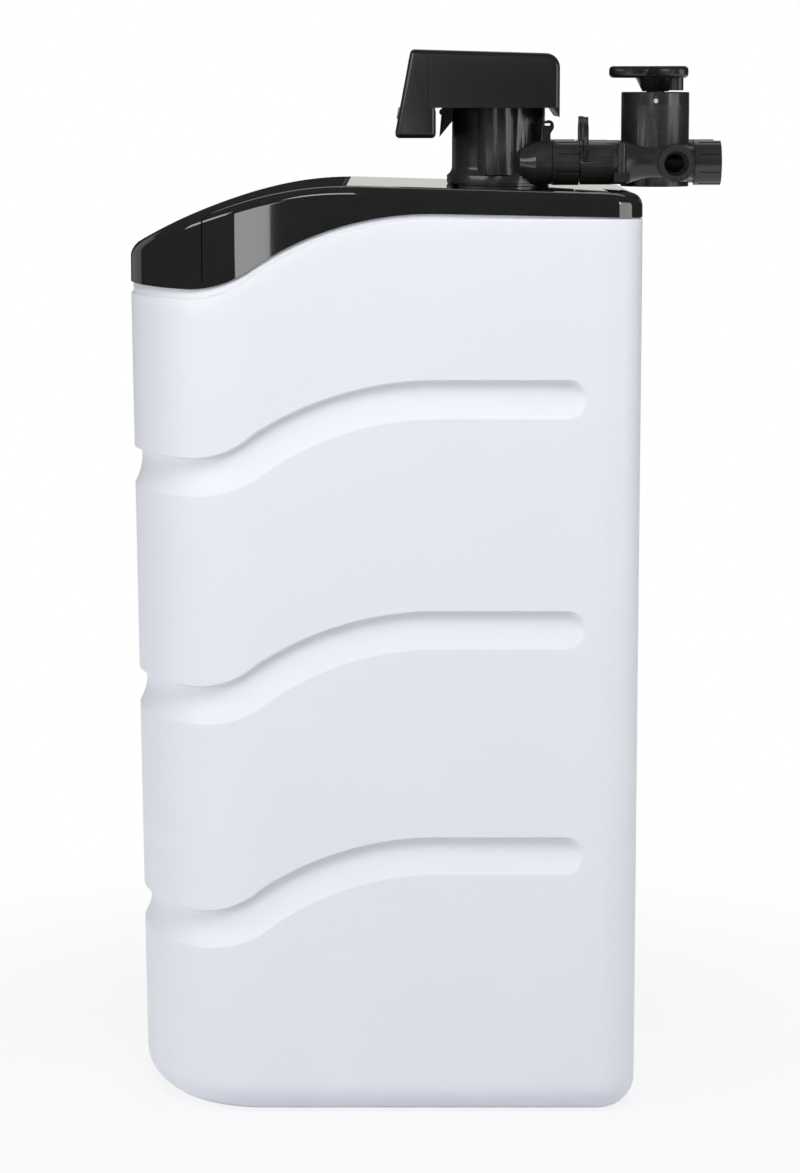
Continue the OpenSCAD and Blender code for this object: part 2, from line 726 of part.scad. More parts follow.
module overflow_elbow() {
    reach = half_width + overflow_r + overflow_barb_r + 2.5;
    color("#2a2a2c") translate([well_x, 0, overflow_height]) difference() {
        union() {
            rod_y(half_width - cabinet_wall - 9, reach, overflow_r - seat_gap);
            rod_y(half_width + run_fit, half_width + overflow_flange_t, overflow_r + 6);
            translate([0, reach - overflow_r, 0]) rod_z(-40, overflow_r - 0.5, overflow_barb_r);
            for (k = [0:2]) translate([0, reach - overflow_r, -38 + 6 * k])
                cylinder(h = 4, r1 = overflow_barb_r, r2 = overflow_barb_r + 1);
        }
        rod_y(half_width - 40, reach - overflow_r + 3, overflow_r - 4);
        translate([0, reach - overflow_r, 0]) rod_z(-41, 2, overflow_barb_r - 2);
    }
}
module overflow_nut() {
    color("#3a3a3c") translate([well_x, half_width - cabinet_wall, overflow_height]) rotate([90, 0, 0])
        difference() {
            cylinder(h = 5.5, r = overflow_r + 5, $fn = 6);
            translate([0, 0, -1]) cylinder(h = 8, r = overflow_r + run_fit);
        }
}

// Control valve: flanged body with side pilasters, rear ports and a chamber for two discs
body_r = body_d / 2;
port_y = port_pitch / 2;
port_r = port_d / 2;
stub_end = body_r + 4.8;
stub_start = pilaster_r - 2;
stub_cone = 16;
// Radius of the way from each port into the body, and how far it lies inside the port's middle
feeder_r = 7.5;
feeder_in = 8;
flange_t = 6;
flare_r = 10;
flare_angle = asin(1 - (flange_d / 2 - body_r) / flare_r);
thread_r = 16.7;
thread_end = stub_end + 20.2;
gasket_t = 2;
gasket_z = body_height - 37;
fixed_z = gasket_z + gasket_t;
moving_z = fixed_z + fixed_disc_t + seat_gap;
stem_foot_z = moving_z + moving_disc_t;
stem_foot_t = 5;
passage_r = 6.5;
passage = [16, 22];
disc_r = chamber_r - seat_gap;
module at_ports() {
    for (y = [-port_y, port_y]) translate([0, y, port_rise]) children();
}
// Flow windows that the gasket and both discs share
module disc_windows(z0, z1) {
    both_sides() translate([passage.x, passage.y, 0]) rod_z(z0, z1, passage_r - 0.5);
    translate([-passage.y, 0, 0]) rod_z(z0, z1, passage_r - 0.5);
    rod_z(z0, z1, passage_r - 0.5);
}
module valve_body() {
    color("#1f2022") at_valve() difference() {
        union() {
            rotate_extrude() polygon(concat([[0, 0], [flange_d / 2, 0]],
                arc(body_r + flare_r, flange_t + flare_r, flare_r, 270 - flare_angle, 180, 6),
                [[body_r, body_height], [0, body_height]]));
            both_sides() translate([-2, -body_r + 14, 0]) rod_z(8.5, body_height, pilaster_r);
            at_ports() rotate([0, 90, 0]) {
                translate([0, 0, stub_start]) cylinder(h = stub_cone, r1 = port_bore / 2 + 1.5, r2 = port_r);
                rod_z(stub_start + stub_cone - joint, stub_end, port_r);
            }
            at_ports() rod_x(stub_end - 1, thread_end, thread_r);
            rod_z(-spigot_length, 1, spigot_r);
        }
        rod_z(gasket_z, body_height + 1, chamber_r);
        rod_z(-spigot_length - 1, riser_top, riser_d / 2 + run_fit);
        rod_z(0, gasket_z + 1, passage_r);
        at_ports() rod_x(stub_start + 2.5, thread_end + 1, port_bore / 2);
        both_sides() translate([0, port_y - feeder_in, port_rise]) rod_x(10, stub_start + 3.5, feeder_r);
        both_sides() translate([passage.x, passage.y, 0]) rod_z(port_rise, gasket_z + 1, passage_r);
        translate([-passage.y, 0, 0]) rod_z(-spigot_length - 1, gasket_z + 1, passage_r);
        translate([0, 0, -1]) difference() {
            rod_z(0, 2 * oring_wire + 1.2, oring_ring + oring_wire + 0.1);
            rod_z(-1, 2 * oring_wire + 2, oring_ring - oring_wire - 0.1);
        }
        for (a = screw_angles) rotate(a) translate([screw_ring, 0, 0])
            rod_z(body_height - 12, body_height + 1, screw_r);
        translate([-2, 0, injector_z]) rod_y(body_r - 12, 2 * body_r, injector_r);
        translate([-2, 0, port_rise]) rod_y(body_r - 12, 2 * body_r, barb_r);
        translate([line_x - valve_x, 0, brine_z]) rod_y(body_r - 24, 2 * body_r, barb_r);
    }
}
module disc_gasket() {
    color("#222") at_valve() difference() {
        rod_z(gasket_z, fixed_z, disc_r);
        disc_windows(gasket_z - 1, fixed_z + 1);
    }
}
module fixed_disc() {
    color("#f5f5f2") at_valve() difference() {
        rod_z(fixed_z, fixed_z + fixed_disc_t, disc_r);
        disc_windows(fixed_z - 1, moving_z);
    }
}
lug_r = 4;
lug_ring = 18;
module stem_lugs(play) {
    for (a = [90, 270]) rotate(a) translate([lug_ring, 0, 0])
        rod_z(stem_foot_z - 3 - play, stem_foot_z + 1, lug_r + play);
}
module moving_disc() {
    color("#eceae4") at_valve() difference() {
        rod_z(moving_z, stem_foot_z, chamber_r - 4);
        both_sides() translate([passage.x, passage.y, 0]) rod_z(moving_z - 1, moving_z + 4, passage_r - 1);
        translate([-passage.y, 0, 0]) rod_z(moving_z - 1, moving_z + 4, passage_r - 1);
        stem_lugs(run_fit);
    }
}
stem_r = stem_d / 2;
gear_z = body_height + 9;
gear_seat_r = stem_r - 1;
module valve_stem() {
    color("#3c3c40") at_valve() {
        rod_z(stem_foot_z, stem_foot_z + stem_foot_t, chamber_r - 6);
        stem_lugs(0);
        rod_z(stem_foot_z, gear_z, stem_r);
        difference() {
            rod_z(gear_z - 1, gear_z + gear_width, gear_seat_r);
            translate([gear_seat_r - 2, -stem_d, gear_z]) cube([stem_d, 2 * stem_d, gear_width + 1]);
        }
    }
}
cap_foot_z = stem_foot_z + stem_foot_t + 2.7;
cap_flange_t = 5;
seal_wire = 1.5;
seal_ring = stem_r + seal_wire + run_fit;
module stem_oring() {
    color("black") at_valve() translate([0, 0, cap_foot_z + 7]) torus(seal_ring, seal_wire);
}
module top_cap() {
    lugs = 6;
    color("#2b2c2f") at_valve() difference() {
        union() {
            rod_z(cap_foot_z, body_height + 1, disc_r);
            difference() {
                rod_z(body_height, body_height + cap_flange_t, cap_r);
                for (k = [0:lugs - 1]) rotate(360 * k / lugs) translate([cap_r + 1, 0, 0])
                    rod_z(body_height + 1, body_height + cap_flange_t + 1, 4);
            }
        }
        rod_z(0, 2 * body_height, stem_r + run_fit);
        rod_z(cap_foot_z + 7 - seal_wire - 0.1, cap_foot_z + 7 + seal_wire + 0.1,
            seal_ring + seal_wire + 0.1);
    }
}

// Gear drive: involute spur gears
pressure_angle = 20;
gear_pitch_r = gear_module * gear_teeth / 2;
pinion_pitch_r = gear_module * pinion_teeth / 2;
motor_x = -gear_pitch_r - pinion_pitch_r;
flank_steps = 3;
function involute(a) = tan(a) * 180 / PI - a;
// Half of the angle that a tooth takes up at radius r
function half_tooth(teeth, pitch_r, r) =
    let (base_r = pitch_r * cos(pressure_angle), a = r > base_r ? acos(base_r / r) : 0)
    90 / teeth + involute(pressure_angle) - involute(a) - backlash / 4 / pitch_r * 180 / PI;
function tooth_points(teeth, k) =
    let (pitch_r = gear_module * teeth / 2, tip_r = pitch_r + gear_module,
        root_r = pitch_r - 1.25 * gear_module, base_r = max(root_r + 0.1, pitch_r * cos(pressure_angle)),
        radii = concat([root_r], [for (j = [0:flank_steps]) base_r + (tip_r - base_r) * j / flank_steps]),
        rise = [for (r = radii) [r, -half_tooth(teeth, pitch_r, r)]],
        fall = [for (j = [len(radii) - 1:-1:0]) [radii[j], half_tooth(teeth, pitch_r, radii[j])]])
    [for (p = concat(rise, fall)) on_arc(0, 0, p[0], p[1] + 360 * k / teeth)];
module gear_blank(teeth) {
    linear_extrude(gear_width) polygon([for (k = [0:teeth - 1]) each tooth_points(teeth, k)]);
}
module drive_gear() {
    color("#d9d4c5") at_valve() translate([0, 0, gear_z]) difference() {
        gear_blank(gear_teeth);
        difference() {
            rod_z(-1, gear_width + 1, gear_seat_r + run_fit);
            translate([gear_seat_r - 2 + run_fit, -stem_d, -2]) cube([stem_d, 2 * stem_d, gear_width + 4]);
        }
        for (k = [0:5]) rotate(60 * k + 30) translate([gear_pitch_r * 0.62, 0, 0])
            rod_z(-1, gear_width + 1, 6);
    }
}
motor_shaft_r = 3;
shaft_grip = 8;
bracket_t = 2.5;
bracket_z = gear_z + gear_width + 3;
motor_z = bracket_z + bracket_t;
module motor_pinion() {
    color("#c9b46a") at_valve() translate([motor_x, 0, 0]) {
        translate([0, 0, gear_z]) gear_blank(pinion_teeth);
        rod_z(gear_z + gear_width - 1, motor_z + shaft_grip, motor_shaft_r);
    }
}
module drive_motor() {
    color("#9a9da2") at_valve() translate([motor_x, 0, motor_z]) difference() {
        union() {
            rod_z(0, motor_height - 3, motor_d / 2);
            rod_z(motor_height - 4, motor_height, motor_d / 2 - 3);
            translate([-motor_d / 4, motor_d / 2 - 4, 3]) cube([motor_d / 2, 8, 12]);
        }
        rod_z(-1, shaft_grip + 1, motor_shaft_r + run_fit);
    }
}
post_r = 4;
posts = [[motor_x - 12, 34], [motor_x + 18, 40]];
module motor_bracket() {
    color("#b8bcc0") at_valve() difference() {
        union() {
            translate([motor_x - 18, -46, bracket_z]) cube([42, 92, bracket_t]);
            for (p = posts) both_sides() translate([p.x, p.y, 0])
                rod_z(body_height + base_t, bracket_z + bracket_t / 2, post_r);
        }
        translate([motor_x, 0, 0]) rod_z(bracket_z - 1, motor_z + 1, motor_shaft_r + 1);
    }
}

// Control head: base plate, rear hood and front fascia
base_t = 3;
cap_r = 40;
screw_angles = [45, 135, 225, 315];
screw_ring = (cap_r + body_r) / 2;
screw_r = 1.5;
head_low = body_height - 2;
fascia_low = head_low - fascia_drop;
split_x = -head_front + 32.4;
drop_x = -head_front + 40.3;
shell_fit = 0.4;
fascia_rise = head_height + fascia_drop;
face_top_x = -head_front + fascia_rise * tan(fascia_lean);
head_top = head_low + head_height;
head_fall = 3.6;
rear_top = head_top - head_fall;
module head_base() {
    half = head_half_width - head_wall - shell_fit;
    color("#26272a") at_valve() difference() {
        translate([split_x + 1, -half, body_height])
            cube([head_rear - head_wall - shell_fit - split_x - 1, 2 * half, base_t]);
        rod_z(0, 2 * body_height, cap_r + seat_gap);
        for (a = screw_angles) rotate(a) translate([screw_ring, 0, 0])
            rod_z(0, 2 * body_height, screw_r + run_fit);
    }
}
module head_screws() {
    color("silver") at_valve() for (a = screw_angles) rotate(a) translate([screw_ring, 0, 0]) {
        rod_z(body_height - 10, body_height + base_t + 1, screw_r - run_fit);
        difference() {
            rod_z(body_height + base_t, body_height + base_t + 2.2, 2.6);
            translate([-3, -0.4, body_height + base_t + 1.2]) cube([6, 0.8, 2]);
        }
    }
}
head_round = 4.5;
head_rear_round = 14;
// Side view of the whole head, drawn in by d
module head_profile(d) {
    r = head_round - min(d, head_round - 1);
    rr = head_rear_round - d;
    top_slope = atan(head_fall / (head_front + head_rear));
    polygon(concat(
        [[-head_front + d / cos(fascia_lean), fascia_low + d]],
        arc(face_top_x + d + r, head_top - d - r, r, 180 - fascia_lean, 90 + top_slope, 4),
        arc(head_rear - d - rr, rear_top - d - rr, rr, 90 - top_slope, 0, 6),
        [[head_rear - d, head_low + (d > 0 ? -1 : 0)], [drop_x - d, head_low + (d > 0 ? -1 : 0)],
            [drop_x - d, fascia_low + d]]));
}
// End view of the head with rounded upper corners, drawn in by d
module head_section(d) {
    half = head_half_width - d;
    r = head_round - min(d, head_round - 1);
    top = head_top - d;
    rotate([90, 0, 90]) linear_extrude(4 * head_front, center = true) polygon(concat(
        [[-half, 0]], arc(-half + r, top - r, r, 180, 90, 4), arc(half - r, top - r, r, 90, 0, 4),
            [[half, 0]]));
}
module head_block(d) {
    intersection() {
        side_plate(4 * head_half_width) head_profile(d);
        head_section(d);
    }
}
// The part of space in front of the split between fascia and hood
module fascia_space(gap) {
    side_plate(4 * head_half_width) union() {
        translate([-2 * head_front, fascia_low - 10])
            square([2 * head_front + split_x + gap, 2 * body_height]);
        translate([-2 * head_front, fascia_low - 10])
            square([2 * head_front + drop_x + gap + 1, fascia_drop + 10 + 0.2]);
    }
}
split_gap = 0.4;
// Height and width of the tooth under the rear edge
tooth = [9, 30];
module head_hood() {
    color("#232427") at_valve() {
        difference() {
            head_block(0);
            head_block(head_wall);
            fascia_space(split_gap);
            translate([0, inlet_y, inlet_z])
                rod_x(head_rear - 2 * head_wall, head_rear + 1, inlet_r + run_fit);
        }
        side_plate(tooth.y) polygon([[head_rear - head_wall, head_low + 3], [head_rear, head_low + 3],
            [head_rear, head_low - tooth.x], [head_rear - 2 * head_wall, head_low],
            [head_rear - head_wall, head_low]]);
    }
}
// Frame of the sloping face: +X goes in, +Z goes up the face
module on_face(y, rise) {
    translate([-head_front, y, fascia_low]) rotate([0, fascia_lean, 0]) translate([0, 0, rise]) children();
}
window_w = 64;
window_h = 26;
window_rise = 52;
window_t = 1.8;
key_rise = 24;
board_depth = 9;
board_t = 1.6;
board_size = [2 * head_half_width - 24, 58];
board_low = 10;
boss_inset = 4;
board_bosses = [for (s = [-1, 1], z = [boss_inset, board_size.y - boss_inset])
    [s * (board_size.x / 2 - boss_inset), board_low + z]];
module front_fascia() {
    color("#1c1d20") at_valve() difference() {
        union() {
            intersection() {
                difference() {
                    head_block(0);
                    head_block(head_wall);
                }
                fascia_space(0);
            }
            for (b = board_bosses) on_face(b[0], b[1]) rod_x(head_wall - joint, board_depth, 3);
        }
        on_face(0, window_rise) translate([-1, -window_w / 2, 0]) cube([head_wall + 2, window_w, window_h]);
        for (k = [-1.5:1:1.5]) on_face(k * key_pitch, key_rise)
            rod_x(-1, head_wall + 2, key_d / 2 + seat_gap);
    }
}
module display_window() {
    color("#3a4a58") at_valve() on_face(0, window_rise) translate([0.5, 0, 0])
        translate([0, -window_w / 2 + run_fit, run_fit])
            cube([window_t, window_w - 2 * run_fit, window_h - 2 * run_fit]);
}
module circuit_board() {
    color("#2f6b3a") at_valve() on_face(0, 0) {
        translate([board_depth, -board_size.x / 2, board_low]) cube([board_t, board_size.x, board_size.y]);
        for (k = [-1.5:1:1.5]) translate([0, k * key_pitch, key_rise])
            translate([board_depth - 1, -3, -3]) cube([1 + joint, 6, 6]);
    }
}
// Key: a domed cap through the fascia, with a flange and a stem behind it
module head_key(k) {
    color("#8d9094") at_valve() on_face(k * key_pitch, key_rise) {
        rod_x(-1.2, head_wall + seat_gap, key_d / 2);
        rod_x(head_wall + seat_gap, head_wall + 2, key_d / 2 + 1.5);
        rod_x(head_wall + 1, board_depth - 1 - key_travel - seat_gap, 2);
    }
}
module key_up() head_key(-1.5);
module key_down() head_key(-0.5);
module key_menu() head_key(0.5);
module key_confirm() head_key(1.5);

// Small pieces on the valve body
latch_pin_r = 3.2;
module cover_latch() {
    color("#1d1e20") at_valve() difference() {
        union() {
            side_plate(12) polygon([[-body_r + 3, body_height - 12], [-body_r + 3, body_height - 2.5],
                [-body_r - 10, body_height - 2.5], [-body_r - 12.5, body_height - 31]]);
            translate([-body_r - 9.5, 0, body_height - 6.5]) rod_y(-9, 9, latch_pin_r);
        }
        rod_z(0, 2 * body_height, body_r);
    }
}
// Width of the hook's post, height of its slot and thickness of the arm over it
hook_w = 7;
hook_slot = 2.1;
hook_arm = 3.2;
hook_rise = 36.2;
module cable_hook() {
    right = stub_end - 1;
    left = right - hook_w;
    foot = port_rise + 10;
    slot_low = port_rise + hook_rise;
    slot_high = slot_low + hook_slot;
    top = slot_high + hook_arm;
    color("#1a1a1c") at_valve() translate([0, -port_y, 0]) difference() {
        side_plate(8) polygon(concat(
            [[right, foot], [left, foot], [left, slot_low], [right - 0.2, slot_low], [right - 0.2, slot_high],
                [left, slot_high], [left, top - 1]],
            arc(right - 1.8, top - 5, 5, 90, 0, 8),
            [[right + 3.2, top - 8], [right, top - 13]]));
        translate([0, 0, port_rise]) rod_x(0, 2 * stub_end, port_r);
    }
}
injector_z = 56;
injector_r = 9;
module injector_cap() {
    grips = 8;
    pad_y = body_r - 14 + pilaster_r;
    color("#2a2b2e") at_valve() translate([-2, 0, injector_z]) difference() {
        union() {
            rod_y(pad_y, pad_y + 7, injector_r + 4);
            rod_y(pad_y - 14, pad_y + 1, injector_r - run_fit);
        }
        for (k = [0:grips - 1]) rotate([0, 360 * k / grips, 0]) translate([injector_r + 4.6, 0, 0])
            rod_y(pad_y + 1.5, pad_y + 8, 1.8);
    }
}
barb_r = 5.5;
brine_z = 30;
// Barbed spout along +Y from y0, with a stop collar
module barb(y0, length) {
    rod_y(y0, y0 + length, barb_r - run_fit);
    for (k = [0:2]) translate([0, y0 + length - 4 - 6 * k, 0]) rotate([-90, 0, 0])
        cylinder(h = 4, r1 = barb_r + 1, r2 = barb_r - 0.5);
}
module drain_barb() {
    pad_y = body_r - 14 + pilaster_r;
    color("#2f3033") at_valve() translate([-2, 0, port_rise]) difference() {
        union() {
            barb(pad_y - 12, 44);
            rod_y(pad_y, pad_y + 5, barb_r + 4);
        }
        rod_y(pad_y - 20, pad_y + 60, barb_r - 2.5);
    }
}
module brine_elbow() {
    reach = line_y + barb_r - 1;
    color("#2f3033") at_valve() translate([line_x - valve_x, 0, brine_z]) difference() {
        union() {
            rod_y(body_r - 18, reach, barb_r - run_fit);
            translate([0, line_y, 0]) rod_z(-brine_z + 2, barb_r - 0.6, barb_r + 2.5);
        }
        rod_y(0, reach - 3, barb_r - 2.5);
        translate([0, line_y, 0]) rod_z(-brine_z - 1, -8, line_r);
        translate([0, line_y, 0]) rod_z(-9, 0, barb_r - 2.5);
    }
}
inlet_r = 5;
inlet_y = -44;
inlet_z = head_low + 16;
plug_r_in = 2.8;
module power_inlet() {
    color("#111") at_valve() translate([head_rear, inlet_y, inlet_z]) difference() {
        union() {
            rod_x(-head_wall - 2.2, -head_wall - 0.2, inlet_r + 2);
            rod_x(-14, 0, inlet_r);
        }
        rod_x(-10, 1, plug_r_in);
    }
}

// Ports, union nuts and adaptors
collar_t = 2.8;
lip_t = 3;
lip_bore = 14.6;
nut_start = stub_end + 0.6;
nut_grips = 8;
nut_slot = [2.4, 1.3];
nut_collar = 4;
// Union nut from x0: a ribbed ring with an inner lip at its far end
module union_nut(x0) {
    difference() {
        rod_x(x0, x0 + nut_length, nut_r);
        rod_x(x0 - 1, x0 + nut_length - lip_t, thread_r + seat_gap);
        rod_x(x0, x0 + nut_length + 1, lip_bore);
        for (k = [0:nut_grips - 1]) rotate([360 * (k + 0.5) / nut_grips, 0, 0])
            translate([x0 + nut_collar, -nut_slot.x / 2, nut_r - nut_slot.y])
                cube([nut_length, nut_slot.x, nut_r]);
    }
}
module union_nuts() {
    color("#222326") at_valve() at_ports() union_nut(nut_start);
}
adaptor_r = port_r + 0.3;
adaptor_start = nut_start + nut_length + 1.3;
adaptor_end = tower_run - 45;
clip_x = adaptor_start + 3.1;
clip_t = 4.5;
clip_fit = 0.3;
vane_bar = 2.4;
rotor_start = clip_x + clip_t + 6;
rotor_length = 10;
module port_adaptors() {
    color("#1e1f22") at_valve() at_ports() difference() {
        union() {
            rod_x(thread_end, thread_end + collar_t, thread_r - 0.1);
            rod_x(thread_end, adaptor_start + 1, lip_bore - 0.3);
            rod_x(adaptor_start, adaptor_end, adaptor_r);
        }
        difference() {
            rod_x(thread_end - 1, adaptor_end + 1, port_bore / 2);
            for (x = [rotor_start - vane_bar - seat_gap, rotor_start + rotor_length + seat_gap])
                translate([x, -vane_bar / 2, -port_bore]) cube([vane_bar, vane_bar, 2 * port_bore]);
        }
        rod_x(rotor_start - 2 * vane_bar, rotor_start + rotor_length + 2 * vane_bar, meter_pin_r + run_fit);
        difference() {
            rod_x(clip_x - clip_fit, clip_x + clip_t + clip_fit, adaptor_r + 1);
            rod_x(clip_x - 1, clip_x + clip_t + 1, thread_r);
            translate([clip_x - 1, -2 * adaptor_r, 1 - 2 * adaptor_r])
                cube([clip_t + 2, 4 * adaptor_r, 2 * adaptor_r]);
        }
    }
}
clip_top = 44.5;
clip_half = 22.5;
module retaining_clips() {
    color("#18191b") at_valve() at_ports() rotate([90, 0, 90]) translate([0, 0, clip_x])
        linear_extrude(clip_t) difference() {
            union() {
                translate([-clip_half, 2]) square([2 * clip_half, 28]);
                translate([-clip_half + 8, 28]) square([2 * clip_half - 16, clip_top - 28]);
                both_sides_2d() translate([clip_half - 8, 30]) circle(8);
                translate([-clip_half - 2.5, 12]) square([2 * clip_half + 5, 5]);
            }
            circle(thread_r + clip_fit);
            translate([-thread_r - clip_fit, -1]) square([2 * thread_r + 2 * clip_fit, 1.5]);
            translate([-6, 33]) square([12, 6]);
            translate([-thread_r - clip_fit, 0]) square([2 * (thread_r + clip_fit), 5]);
        }
}
module both_sides_2d() {
    children();
    mirror([1, 0]) children();
}
meter_pin_r = 1.2;
module meter_rotor() {
    blades = 5;
    color("#4f7fb0") at_valve() translate([0, -port_y, port_rise]) {
        intersection() {
            union() for (k = [0:blades - 1]) rotate([360 * k / blades, 0, 0])
                translate([rotor_start + rotor_length / 2, 0, port_bore / 4]) rotate([0, 0, 35])
                    cube([2 * rotor_length, 1.4, port_bore / 2], center = true);
            rod_x(rotor_start, rotor_start + rotor_length, port_bore / 2 - 0.8);
        }
        rod_x(rotor_start, rotor_start + rotor_length, 3);
        rod_x(rotor_start - vane_bar, rotor_start + rotor_length + vane_bar, meter_pin_r);
    }
}

// Bypass: a tower with a turning plug between two waisted pipes
pipe_end = tower_run + 29;
neck_end = pipe_end + 6;
rear_end = neck_end + 21;
tower_foot = -3.7;
tower_top = tower_foot + tower_height;
bonnet_top = tower_top + bonnet_height;
waist_span = 30;
waist_fall = port_r - waist_r;
waist_arc_r = (waist_span * waist_span + waist_fall * waist_fall) / (2 * waist_fall);
pipe_r = waist_r + 3.2;
side_port_x = tower_run + 15.6;
side_port_y = port_y + 37;
side_port_depth = 20;
boss_x = adaptor_end + 8.5;
boss_y = port_y + port_r - 0.5;
boss_r = 4.75;
boss_low = port_rise - 8.6;
boss_high = port_rise + 16.6;
bolt_r = 2.2;
bolt_head_t = 2.7;
clamp_nut = [15.2, 12.2, 9.3];
module waisted_pipe() {
    rotate([0, 90, 0]) rotate_extrude() difference() {
        union() {
            translate([0, adaptor_end]) square([port_r, tower_run - 2 - adaptor_end]);
            translate([0, tower_run - 3]) square([pipe_r, pipe_end - tower_run + 3]);
            translate([0, pipe_end - 1]) square([thread_r - 0.6, neck_end - pipe_end + 2]);
            translate([0, neck_end]) square([thread_r, rear_end - neck_end]);
        }
        translate([waist_r + waist_arc_r, tower_run - 2]) circle(waist_arc_r);
    }
}
module clamp_boss() {
    translate([boss_x, boss_y, 0]) rod_z(boss_low, boss_high, boss_r);
    translate([boss_x - boss_r, boss_y - 8, boss_low + 3])
        cube([2 * boss_r - 1, 8, boss_high - boss_low - 6]);
}
module bypass_body() {
    color("#1d1e21") at_valve() difference() {
        union() {
            at_ports() waisted_pipe();
            translate([tower_run, 0, 0]) rod_z(tower_foot, tower_top, tower_r);
            both_sides() translate([side_port_x, 0, port_rise]) rod_y(port_y, side_port_y, side_port_r);
            both_sides() clamp_boss();
        }
        translate([tower_run, 0, 0]) rod_z(tower_foot + 6, tower_top + 1, plug_r);
        at_ports() rod_x(adaptor_end - 1, rear_end + 1, port_bore / 2);
        translate([tower_run, 0, port_rise]) rod_y(-port_y, port_y, 8);
        both_sides() translate([side_port_x, 0, port_rise]) {
            rod_y(port_y, side_port_y + 1, 9);
            rod_y(side_port_y - side_port_depth, side_port_y + 1, side_port_bore_r);
        }
        both_sides() translate([boss_x, boss_y, 0]) rod_z(boss_low - clamp_nut.z - 1, boss_high + 1, bolt_r);
    }
}
module clamp_bolts() {
    color("#2a2a2c") at_valve() both_sides() translate([boss_x, boss_y, 0]) {
        rod_z(boss_low - clamp_nut.z, boss_high + 1, bolt_r - run_fit);
        rod_z(boss_high, boss_high + bolt_head_t, boss_r - 0.4);
    }
}
module clamp_nuts() {
    color("#2c2c2e") at_valve() both_sides() translate([boss_x, boss_y, boss_low - clamp_nut.z])
        difference() {
        translate([-clamp_nut.x / 2, -boss_r, 0]) cube(clamp_nut);
        rod_z(-1, clamp_nut.z + 1, bolt_r);
        translate([-boss_x, port_y - boss_y, port_rise - boss_low + clamp_nut.z])
            rod_x(adaptor_end, tower_run, port_r + seat_gap);
    }
}
module rear_nuts() {
    color("#222326") at_valve() at_ports() union_nut(neck_end + 0.4);
}
plug_stem_r = 9;
knob_z = bonnet_top + hub_height + 0.5;
module bypass_rotor() {
    color("#d8d8d2") at_valve() translate([tower_run, 0, 0]) difference() {
        union() {
            rod_z(tower_foot + 6 + seat_gap, tower_top - seat_gap, plug_r - run_fit);
            rod_z(tower_top - 1, knob_z + 2, plug_stem_r);
        }
        translate([0, 0, port_rise]) rod_x(-2 * plug_r, 2 * plug_r, 8);
        translate([plug_stem_r - 2.5, -20, bonnet_top + 3]) cube([20, 40, 60]);
    }
}
module bypass_bonnet() {
    color("#202124") at_valve() translate([tower_run, 0, 0]) difference() {
        rotate_extrude() polygon(concat([[0, tower_top]], [[tower_r, tower_top]],
            arc(tower_r - bonnet_round, bonnet_top - bonnet_round, bonnet_round, 0, 90, 4),
                [[0, bonnet_top]]));
        rod_z(tower_top - 1, bonnet_top + 1, plug_stem_r + run_fit);
        both_sides() translate([-2, 0, tower_top + 3.9]) rod_y(tower_r - 8, tower_r + 1, bonnet_screw_r);
    }
}
bonnet_screw_r = 2.2;
bonnet_round = 1.2;
module bonnet_screws() {
    color("#c9a860") at_valve() translate([tower_run - 2, 0, tower_top + 3.9]) both_sides() difference() {
        rod_y(tower_r - 8, tower_r + 0.6, bonnet_screw_r - run_fit);
        translate([-3, tower_r - 0.4, -0.4]) cube([6, 2, 0.8]);
    }
}
knob_points = 72;
leg_wall_r = 7;
leg_ring = knob_mean_r + 3;
module bypass_knob() {
    outline_points = [for (k = [0:knob_points - 1]) let (a = 360 * k / knob_points)
        on_arc(0, 0, knob_mean_r - knob_swing * cos(3 * a), a)];
    color("#151517") at_valve() translate([tower_run, 0, knob_z]) difference() {
        union() {
            linear_extrude(knob_t) polygon(outline_points);
            translate([0, 0, -hub_height])
                cylinder(h = hub_height + 1, r1 = plug_stem_r + 4, r2 = plug_stem_r + 11);
            for (a = [60, -60]) rotate(a) translate([leg_ring, 0, 0]) rod_z(-hub_height + 1, 1, leg_wall_r);
        }
        difference() {
            rod_z(-hub_height - 1, 2 + run_fit, plug_stem_r + run_fit);
            translate([plug_stem_r - 2.5 + run_fit, -20, -hub_height + 3 - 0.5])
                cube([20, 40, 60]);
        }
    }
}

cabinet();
top_cover();
salt_lid();
lid_hinge_pins();
resin_tank();
tank_boot();
resin_bed();
riser_tube();
bottom_basket();
top_basket();
tank_oring();
brine_well();
brine_well_cap();
salt_grid();
brine_valve();
air_check();
float();
float_rod();
brine_line();
overflow_elbow();
overflow_nut();
valve_body();
disc_gasket();
fixed_disc();
moving_disc();
valve_stem();
stem_oring();
top_cap();
drive_gear();
motor_pinion();
drive_motor();
motor_bracket();
head_base();
head_screws();
head_hood();
front_fascia();
display_window();
circuit_board();
key_up();
key_down();
key_menu();
key_confirm();
cover_latch();
cable_hook();
injector_cap();
brine_elbow();
drain_barb();
power_inlet();
union_nuts();
port_adaptors();
retaining_clips();
meter_rotor();
bypass_body();
clamp_bolts();
clamp_nuts();
rear_nuts();
bypass_rotor();
bypass_bonnet();
bonnet_screws();
bypass_knob();
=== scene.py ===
"""Dressed model of a cabinet water softener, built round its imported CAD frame."""

import json
import logging
import math
from abc import ABC, abstractmethod
from dataclasses import dataclass
from enum import Enum
from typing import Callable, Sequence

import bmesh
import bpy
from bmesh.types import BMEdge, BMesh, BMFace, BMVert
from bpy.types import Material, Node, NodeSocket, NodeTree, Object
from mathutils import Matrix, Vector


